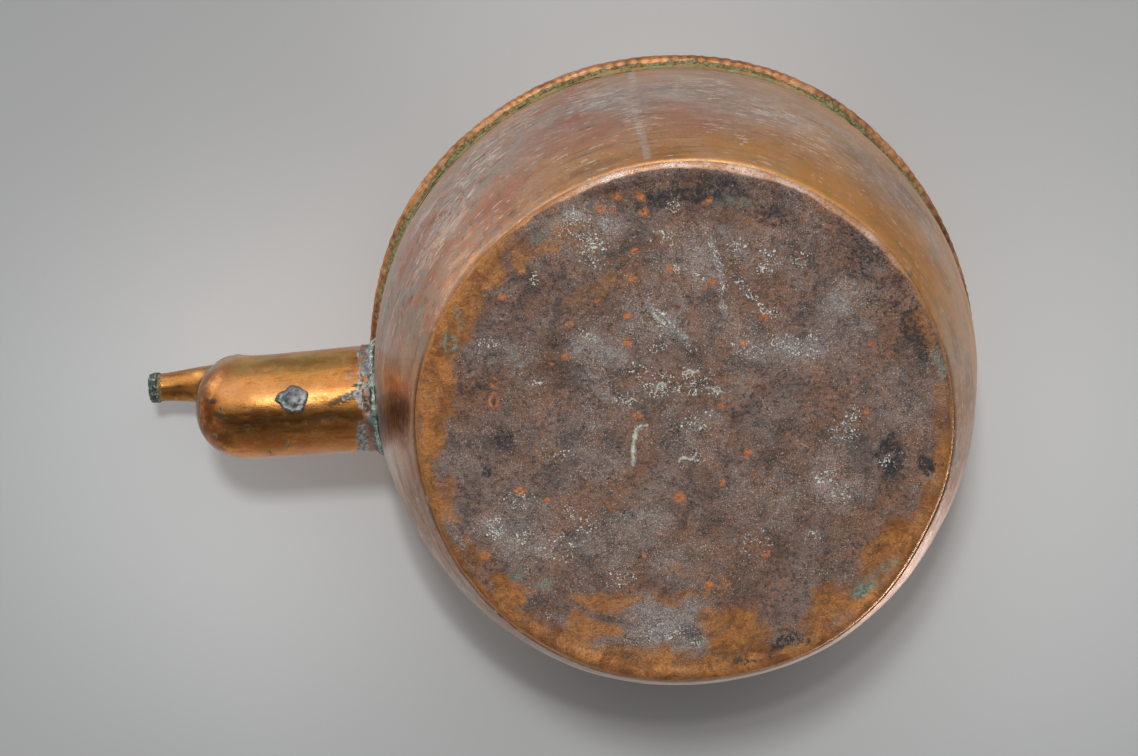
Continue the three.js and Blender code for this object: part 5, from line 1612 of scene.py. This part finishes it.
def strap_mesh():
    half = [
        (78.65, 0.0), (78.65, -12.0), (79.2, -34.0), (77.6, -56.0), (70.5, -78.0), (57.0, -94.0), (46.0, -100.6),
        (38.0, -103.0), (18.0, -103.0),
    ]
    pts = half + [(-x, y) for x, y in half[::-1]]
    line = smooth_line(np.array(pts), 1.0)
    g = np.gradient(line, axis=0)
    g /= np.linalg.norm(g, axis=1)[:, None]
    n = np.stack([g[:, 1], -g[:, 0]], 1)
    w, h = 4.5, 2.25
    section = rounded(
        [(-h, -w + 0.9), (-h + 1.0, -w), (h - 1.0, -w), (h, -w + 0.9), (h, w - 0.9), (h - 1.0, w), (-h + 1.0, w), (-h, w - 0.9)],
        0.6, 1,
    )
    k = len(section)
    co = np.stack(
        [
            np.repeat(line[:, 0], k) + np.repeat(n[:, 0], k) * np.tile(section[:, 0], len(line)),
            np.repeat(line[:, 1], k) + np.repeat(n[:, 1], k) * np.tile(section[:, 0], len(line)),
            146.0 + np.tile(section[:, 1], len(line)),
        ],
        1,
    )
    faces = grid_faces(len(line), k)
    last = (len(line) - 1) * k
    return raw_mesh(co, faces, [list(range(k))[::-1], list(range(last, last + k))])


def bail_strap():
    strap = strap_mesh()
    pieces = [strap]
    for side in (1, -1):
        x0 = 76.4 if side > 0 else -80.9
        co, faces, caps = turned(
            [(0, 0), (8.0, 0), (8.5, 0.5), (8.5, 4.0), (8.0, 4.5), (0, 4.5)], 64, (x0, 0, 146.0), "X"
        )
        pieces.append(raw_mesh(co, faces, caps))
    bores = []
    for side in (1, -1):
        x0 = 72.0 if side > 0 else -86.0
        co, faces, caps = turned([(0, 0), (3.05, 0), (3.05, 14), (0, 14)], 48, (x0, 0, 146.0), "X")
        bores.append(raw_mesh(co, faces, caps))
    for o in pieces + bores:
        bm = bmesh.new()
        bm.from_mesh(o.data)
        bmesh.ops.recalc_face_normals(bm, faces=bm.faces)
        bm.to_mesh(o.data)
        bm.free()
    for o in pieces[1:]:
        m = strap.modifiers.new("eye", "BOOLEAN")
        m.operation, m.object, m.solver = "UNION", o, "EXACT"
    for o in bores:
        m = strap.modifiers.new("bore", "BOOLEAN")
        m.operation, m.object, m.solver = "DIFFERENCE", o, "EXACT"
    bpy.context.view_layer.update()
    dg = bpy.context.evaluated_depsgraph_get()
    mesh = bpy.data.meshes.new_from_object(strap.evaluated_get(dg))
    strap.modifiers.clear()
    old = strap.data
    strap.data = mesh
    bpy.data.meshes.remove(old)
    for o in pieces[1:] + bores:
        data = o.data
        bpy.data.objects.remove(o)
        bpy.data.meshes.remove(data)
    organic(
        "bail_strap", strap, 0.55, "handle", ["bail"], FORGED_COPPER,
        smooth=3, hammer=0.16, size=7.5, seed=320,
        cut=lambda co: 0.42 * (1 - ease(np.hypot(co[:, 1], co[:, 2] - 146), 6.4, 8.2)),
    )


def grip_tube():
    half, outer, bore = 36.0, 7.2, 5.5
    profile = rounded(
        [(bore, -half), (outer - 0.5, -half), (outer, -half + 0.9), (outer - 0.25, -half + 2.2), (outer - 0.25, -half + 3.0),
         (outer, -half + 4.0), (outer, half - 4.0), (outer - 0.25, half - 3.0), (outer - 0.25, half - 2.2),
         (outer, half - 0.9), (outer - 0.5, half), (bore, half)],
        0.7, 2,
    )
    cols = 160
    t = np.arange(cols) * 2 * np.pi / cols
    r = np.repeat(profile[:, 0], cols)
    x = np.repeat(profile[:, 1], cols)
    a = np.tile(t, len(profile))
    p = np.stack([x, r * np.cos(a), r * np.sin(a)], 1)
    outside = ease(r, 6.2, 6.7)
    groove = np.exp(-(((a - 4.1) * outer / 0.35) ** 2))
    r = r + outside * (-0.30 * groove + 0.10 * fbm(p, 9, 3, 331) - 0.05)
    co = np.stack([x, -103 + r * np.cos(a), 146 + r * np.sin(a)], 1)
    run = np.stack([x * MM, np.cos(a) * 0.007, np.sin(a) * 0.007], 1)
    n1 = fbm(co, 12, 4, 333)
    make(
        "grip_tube", co, grid_faces(len(profile), cols, wrap_rows=True), "handle", ["bail_grip"],
        GRIP_COPPER,
        {"run": run, "grime": np.clip(outside * groove + 0.8 * (np.abs(np.abs(x) - half + 2.6) < 1.0), 0, 1),
         "green": np.clip(0.1 + 0.8 * n1 * (np.abs(x) > 30), 0, 1), "brown": np.clip(0.3 + n1, 0, 1)},
    )


GRIP_COPPER = copper_material(
    "grip_copper",
    coord="run",
    stretch=(1, 5, 5),
    clean=(0.76, 0.41, 0.21),
    warm=(0.62, 0.30, 0.13),
    paleness=0.30,
    darkness=0.5,
    rough=(0.24, 0.42),
    marks=("grime", "brown", "green"),
    brushed=0.6,
)
bail_strap()
grip_tube()

for name, side in (("front", 1), ("rear", -1)):
    profile = rounded(
        [(0, 69.0), (2.4, 69.0), (3.9, 69.4), (5.0, 70.4), (5.0, 71.55), (2.7, 71.6), (2.7, 82.8), (5.15, 82.8), (5.2, 83.6),
         (4.1, 84.8), (2.2, 85.3), (0, 85.4)],
        0.35, 2, closed=False,
    )
    co, faces, caps = turned(profile, 72, (0, 0, 146.0), "X", bumps=0.12, seed=340 + side, size=2.6)
    if side < 0:
        co = co * [-1, -1, 1]
    make(f"{name}_pin", co, faces, "kettle", [f"{name}_pivot_pin"], RIVET_COPPER,
         {"green": np.clip(0.2 + 0.8 * fbm(co, 4, 3, 345), 0, 1)}, caps)
    ring = rounded([(3.0, 81.27), (6.6, 81.25), (6.62, 82.42), (3.0, 82.45)], 0.3, 1)
    k, cols = len(ring), 84
    t = np.arange(cols) * 2 * np.pi / cols
    r = np.repeat(ring[:, 0], cols)
    x = np.repeat(ring[:, 1], cols)
    a = np.tile(t, k)
    p = np.stack([x, r * np.cos(a), r * np.sin(a)], 1)
    r = r + ease(r, 5, 6.5) * 0.14 * fbm(p, 3.5, 2, 347 + side)
    co = np.stack([x * side, r * np.cos(a), 146 + r * np.sin(a)], 1)
    make(f"{name}_washer", co, grid_faces(k, cols, wrap_rows=True), "kettle", [f"{name}_pivot_washer"],
         RIVET_COPPER, {"green": np.clip(0.35 + 0.8 * fbm(co, 4, 3, 348), 0, 1)})


def dome_at(r):
    d = np.array(DOME)[::-1]
    z = np.interp(r, d[:, 0], d[:, 1])
    slope = (np.interp(r + 0.5, d[:, 0], d[:, 1]) - np.interp(r - 0.5, d[:, 0], d[:, 1]))
    return z, slope


for name, x, y in (
    ("front_ear_rivet_left", 66, 10.5), ("front_ear_rivet_right", 66, -10.5),
    ("rear_ear_rivet_left", -66, 10.5), ("rear_ear_rivet_right", -66, -10.5),
):
    profile = rounded(
        [(0, -3.6), (2.2, -3.4), (3.2, -2.6), (3.2, -2.05), (1.9, -2.0), (1.9, 3.0), (3.75, 3.0), (3.8, 3.6), (3.0, 4.6),
         (1.4, 5.2), (0, 5.3)],
        0.3, 2, closed=False,
    )
    seed = 350 + int(x + y)
    co, faces, caps = turned(profile, 64, (0, 0, 0), "Z", bumps=0.16, seed=seed, size=2.2)
    r = math.hypot(x, y)
    z, slope = dome_at(r)
    normal = Vector((-slope * x / r, -slope * y / r, 1)).normalized()
    rot = np.array(Vector((0, 0, 1)).rotation_difference(normal).to_matrix())
    co = co @ rot.T + np.array([x, y, z])
    make(name.replace("_ear_", "_lug_"), co, faces, "kettle", [name], RIVET_COPPER,
         {"green": np.clip(0.45 + 0.9 * fbm(co, 3.5, 3, seed + 1) - 0.05 * (co[:, 2] - z), 0, 1)}, caps)

# ------------------------------------------------------------------ lid


def lid_cap():
    corner = [
        [53.4, 151.0], [52.9, 151.8], [50.5, 152.1], [47.5, 152.25], [44.5, 153.2], [41, 154.2], [32, 156.5], [21, 158.3],
        [11, 159.2], [2.6, 159.2], [2.6, 157.7], [11, 157.7], [21, 156.8], [32, 154.95], [40.4, 152.6], [43.4, 150.9],
        [44.4, 150.3], [52.6, 150.3], [53.3, 150.5],
    ]
    profile = rounded(corner, 0.6, 2)

    def move(t, r, z, row):
        p = np.stack([np.cos(t) * r, np.sin(t) * r, z], 1)
        f1, _, _ = cells(p, 11, 361)
        return r, z + ease(r, 9, 14) * (1 - ease(r, 40, 44)) * (0.10 * fbm(p, 26, 2, 362) + 0.10 * (f1 - 0.6))

    co, faces, t = revolve(profile, 480, move)
    r = np.hypot(co[:, 0], co[:, 1])
    n1 = fbm(co, 18, 4, 365)
    green = np.clip(0.9 * (1 - ease(r, 9.6 + n1, 13.5 + 2 * n1)) + 0.5 * ease(r, 52, 53.4) * (0.4 + n1), 0, 1)
    brown = np.clip(0.25 + 1.1 * n1, 0, 1) * 0.8
    make("lid_cap", co, faces, "lid", ["lid_dome"], LID_COPPER, {"cyl": cyl(co), "green": green, "brown": brown})


def lid_sleeve():
    profile = rounded([(44.1, 139.05), (45.1, 139.0), (45.5, 140.0), (45.5, 150.0), (44.1, 150.0)], 0.5, 2)

    def move(t, r, z, row):
        p = np.stack([np.cos(t) * r, np.sin(t) * r, z], 1)
        return r + 0.05 * fbm(p, 9, 3, 371), z + 0.10 * fbm(p, 12, 2, 372) * (z < 141)

    co, faces, t = revolve(profile, 480, move)
    n1 = fbm(co, 10, 4, 375)
    make("lid_sleeve", co, faces, "lid", ["lid_skirt"], LID_COPPER,
         {"cyl": cyl(co), "green": np.clip(0.5 * n1, 0, 1), "brown": np.clip(0.45 + n1, 0, 1)})


def knob():
    profile = rounded(
        [(2.5, 170.0), (2.5, 159.5), (9.2, 159.5), (9.45, 160.3), (8.6, 160.9), (7.0, 161.4), (6.7, 161.9), (5.0, 162.3),
         (4.2, 162.9), (3.9, 164.0), (4.2, 165.0), (5.5, 165.3), (5.9, 165.9), (8.0, 167.2), (9.0, 168.3), (9.35, 169.6),
         (9.1, 170.4), (9.35, 170.9), (8.8, 172.2), (7.8, 173.5), (6.4, 174.4), (4.4, 175.2), (3.2, 175.5), (2.8, 176.1),
         (1.6, 176.9), (0, 177.1)],
        0.22, 2, closed=False,
    )
    co, faces, caps = turned(profile, 128, bumps=0.025, seed=381, size=5)
    r, z = np.hypot(co[:, 0], co[:, 1]), co[:, 2]
    hollow = np.maximum.reduce([
        1 - ease(np.abs(z - 164), 1.0, 2.6), 1 - ease(np.abs(z - 161.6), 0.3, 0.9), (1 - ease(np.abs(z - 170.4), 0.2, 0.5)) * 0.8,
        (1 - ease(z, 159.5, 160.2)), (1 - ease(np.abs(z - 175.6), 0.2, 0.6)) * 0.9,
    ])
    make("knob", co, faces, "lid", ["lid_knob"], BRASS, {"grime": np.clip(hollow + 0.35 * fbm(co, 5, 3, 383), 0, 1)}, caps)
    profile = rounded([(0, 154.1), (2.4, 154.1), (3.8, 154.5), (4.6, 155.2), (4.6, 155.9), (2.2, 155.9), (2.2, 169.6), (0, 169.6)],
                      0.35, 2, closed=False)
    co, faces, caps = turned(profile, 56, bumps=0.10, seed=385, size=2.4)
    make("knob_shank", co, faces, "lid", ["knob_rivet"], RIVET_COPPER, {"green": np.clip(0.3 + fbm(co, 4, 3, 386), 0, 1)}, caps)
    ring = rounded([(2.6, 156.2), (8.0, 156.2), (8.0, 157.4), (2.6, 157.4)], 0.35, 1)
    co, faces, t = revolve(ring, 96, lambda t, r, z, row: (
        r + ease(r, 6, 8) * 0.15 * fbm(np.stack([np.cos(t) * 8, np.sin(t) * 8, z], 1), 4, 2, 388), z))
    make("knob_plate", co, faces, "lid", ["knob_washer"], RIVET_COPPER, {"green": np.clip(0.4 + fbm(co, 4, 3, 389), 0, 1)})


lid_cap()
lid_sleeve()
knob()

# ------------------------------------------------------------------ stage and light


def paper(name, near, far, reach, painted_shading=()):
    """Plain pale paper that only its front shows, with a painted pool of light: lighter in the middle, darker outwards.

    The last argument lists soft round areas of painted shadow and painted light: middle, radius inside, radius outside,
    factor inside."""
    m = bpy.data.materials.new(name)
    m.use_nodes = True
    t = m.node_tree
    t.nodes.clear()
    out = t.nodes.new("ShaderNodeOutputMaterial")
    mix = t.nodes.new("ShaderNodeMixShader")
    geo = t.nodes.new("ShaderNodeNewGeometry")
    clear = t.nodes.new("ShaderNodeBsdfTransparent")
    flat = t.nodes.new("ShaderNodeBsdfDiffuse")
    coord = t.nodes.new("ShaderNodeTexCoord")
    grain = t.nodes.new("ShaderNodeTexNoise")
    grain.inputs["Scale"].default_value = 5.0
    away = t.nodes.new("ShaderNodeVectorMath")
    away.operation = "LENGTH"
    # the painted pool of light: near in the middle, far at reach and beyond
    ramp = t.nodes.new("ShaderNodeMapRange")
    ramp.interpolation_type = "SMOOTHSTEP"
    ramp.inputs["From Max"].default_value = reach
    ramp.inputs["To Min"].default_value = near
    ramp.inputs["To Max"].default_value = far
    soft = t.nodes.new("ShaderNodeMapRange")
    soft.inputs["To Min"].default_value = 0.94
    soft.inputs["To Max"].default_value = 1.06
    both = t.nodes.new("ShaderNodeMath")
    both.operation = "MULTIPLY"
    t.links.new(coord.outputs["Object"], grain.inputs["Vector"])
    t.links.new(coord.outputs["Object"], away.inputs[0])
    t.links.new(away.outputs["Value"], ramp.inputs["Value"])
    t.links.new(grain.outputs["Fac"], soft.inputs["Value"])
    t.links.new(ramp.outputs["Result"], both.inputs[0])
    t.links.new(soft.outputs["Result"], both.inputs[1])
    last = both
    # painted shadows and painted light, each a soft round area that multiplies the paper's colour
    for middle, r0, r1, factor in painted_shading:
        far_off = t.nodes.new("ShaderNodeVectorMath")
        far_off.operation = "DISTANCE"
        far_off.inputs[1].default_value = middle
        step = t.nodes.new("ShaderNodeMapRange")
        step.interpolation_type = "SMOOTHSTEP"
        for key, value in (("From Min", r0), ("From Max", r1), ("To Min", factor), ("To Max", 1.0)):
            step.inputs[key].default_value = value
        times = t.nodes.new("ShaderNodeMath")
        times.operation = "MULTIPLY"
        t.links.new(coord.outputs["Object"], far_off.inputs[0])
        t.links.new(far_off.outputs["Value"], step.inputs["Value"])
        t.links.new(last.outputs[0], times.inputs[0])
        t.links.new(step.outputs["Result"], times.inputs[1])
        last = times
    t.links.new(last.outputs[0], flat.inputs["Color"])
    t.links.new(geo.outputs["Backfacing"], mix.inputs[0])
    t.links.new(flat.outputs[0], mix.inputs[1])
    t.links.new(clear.outputs[0], mix.inputs[2])
    t.links.new(mix.outputs[0], out.inputs[0])
    return m


# painted shading on the sheet: the first two areas paint the shadow under the body, the next two paint light into the
# spout's shadow and beside the body on the -X side, the fifth paints shade towards +Y, the last paints light just
# beyond the body on the +Y side; near and far paint a pool of light
PAINTED_SHADE_SHEET = paper("sheet", 0.79, 0.545, 0.40, (
    ((0.0, -0.050, 0.150), 0.111, 0.117, 0.76),
    ((-0.002, -0.112, 0.150), 0.030, 0.085, 0.68),
    ((0.165, -0.050, 0.150), 0.000, 0.170, 1.34),
    ((-0.130, -0.090, 0.150), 0.000, 0.190, 1.30),
    ((0.02, 0.60, 0.150), 0.43, 0.66, 0.82),
    ((0.0, 0.150, 0.150), 0.020, 0.130, 1.13),
))
# the floor gets the same painted pool of light: lighter round the kettle, darker towards its edge
PAPER = paper("paper", 0.80, 0.62, 3.4)


def stage_object(name, co, faces, material):
    mesh = bpy.data.meshes.new(name)
    mesh.from_pydata(co, [], faces)
    mesh.materials.append(material)
    mesh.polygons.foreach_set("use_smooth", np.ones(len(mesh.polygons), bool))
    o = bpy.data.objects.new(name, mesh)
    bpy.context.scene.collection.objects.link(o)
    o.visible_shadow = o.visible_diffuse = o.visible_glossy = o.visible_transmission = False
    return o


def sweep():
    # the sheet that the upturned kettle lies on, seen from below, facing down
    s, z = 0.6, 0.150
    stage_object("sheet_above", [(-s, -s, z), (-s, s, z), (s, s, z), (s, -s, z)], [(0, 1, 2, 3)], PAINTED_SHADE_SHEET)
    # a round floor with a raised edge for the kettle's own standing views, facing up and inwards
    profile = [(0.02, -0.001), (1.0, -0.001), (2.6, -0.001)]
    for k in range(1, 9):
        a = k / 8 * math.pi / 2
        profile.append((2.6 + 0.9 * math.sin(a), -0.001 + 0.9 * (1 - math.cos(a))))
    profile.append((3.5, 4.0))
    n = 96
    co, faces = [], []
    for r, z in profile:
        co += [(r * math.cos(2 * math.pi * i / n), r * math.sin(2 * math.pi * i / n), z) for i in range(n)]
    for k in range(len(profile) - 1):
        for i in range(n):
            j = (i + 1) % n
            faces.append((k * n + i, (k + 1) * n + i, (k + 1) * n + j, k * n + j))
    faces.append(tuple(range(n)))
    o = stage_object("floor_below", co, faces, PAPER)
    bm = bmesh.new()
    bm.from_mesh(o.data)
    bmesh.ops.recalc_face_normals(bm, faces=bm.faces)
    low = min(bm.faces, key=lambda f: f.calc_center_median().length)
    if low.normal.z < 0:
        bmesh.ops.reverse_faces(bm, faces=bm.faces)
    bm.to_mesh(o.data)
    bm.free()


def lamp(name, place, aim, size, power, colour=(1, 1, 1)):
    data = bpy.data.lights.new(name, "AREA")
    data.shape = "RECTANGLE"
    data.size, data.size_y = size
    data.energy = power
    data.color = colour
    o = bpy.data.objects.new(name, data)
    bpy.context.scene.collection.objects.link(o)
    o.location = place
    o.rotation_euler = (Vector(aim) - Vector(place)).to_track_quat("-Z", "Y").to_euler()
    return o


def lights():
    # from the camera's side of the picture, above
    lamp("key_below", (0.05, 0.56, -1.12), (0.02, 0, 0.08), (0.11, 0.11), 5.0, (0.95, 1.0, 1.0))
    # for the standing views
    lamp("key_above", (-1.0, -1.2, 0.98), (0, 0, 0.08), (0.55, 0.55), 9.0, (1.0, 0.985, 0.96))
    lamp("fill_above", (1.35, 0.95, 0.55), (0, 0, 0.08), (0.8, 0.8), 3.0, (0.96, 0.98, 1.0))
    w = bpy.data.worlds.new("studio")
    bpy.context.scene.world = w
    w.use_nodes = True
    t = w.node_tree
    t.nodes.clear()
    out = t.nodes.new("ShaderNodeOutputWorld")
    bg = t.nodes.new("ShaderNodeBackground")
    coord = t.nodes.new("ShaderNodeTexCoord")
    axes = t.nodes.new("ShaderNodeSeparateXYZ")
    t.links.new(coord.outputs["Generated"], axes.inputs[0])
    t.links.new(bg.outputs[0], out.inputs[0])

    def ramp(x, a, b, lo, hi):
        m = t.nodes.new("ShaderNodeMapRange")
        m.interpolation_type = "SMOOTHSTEP"
        t.links.new(x, m.inputs["Value"])
        for k, v in (("From Min", a), ("From Max", b), ("To Min", lo), ("To Max", hi)):
            m.inputs[k].default_value = v
        return m.outputs["Result"]

    def combine(op, a, b):
        n = t.nodes.new("ShaderNodeMath")
        n.operation = op
        for k, x in ((0, a), (1, b)):
            if isinstance(x, bpy.types.NodeSocket):
                t.links.new(x, n.inputs[k])
            else:
                n.inputs[k].default_value = x
        return n.outputs[0]

    x, y, z = axes.outputs
    # below: a wide bright ceiling on the +Y side, the dark room towards -Y
    low = combine("ADD", ramp(y, 0.04, 0.52, 0.14, 0.98), ramp(y, -0.97, -0.66, 0.26, 0.0))
    low = combine("ADD", low, ramp(combine("ABSOLUTE", x, 0.0), 0.45, 0.95, 0.0, 0.16))
    # above: pale paper all round, a touch darker straight up
    high = combine("ADD", ramp(y, -0.9, 0.6, 0.50, 0.50), ramp(z, 0.55, 1.0, 0.0, -0.03))
    side = ramp(z, -0.22, 0.10, 0.0, 1.0)
    v = combine("ADD", combine("MULTIPLY", low, combine("SUBTRACT", 1.0, side)), combine("MULTIPLY", high, side))
    t.links.new(v, bg.inputs["Color"])
    bg.inputs["Strength"].default_value = 1.0


sweep()
lights()
bpy.context.scene.view_settings.view_transform = "Standard"
bpy.context.scene.view_settings.look = "None"

bpy.context.view_layer.update()
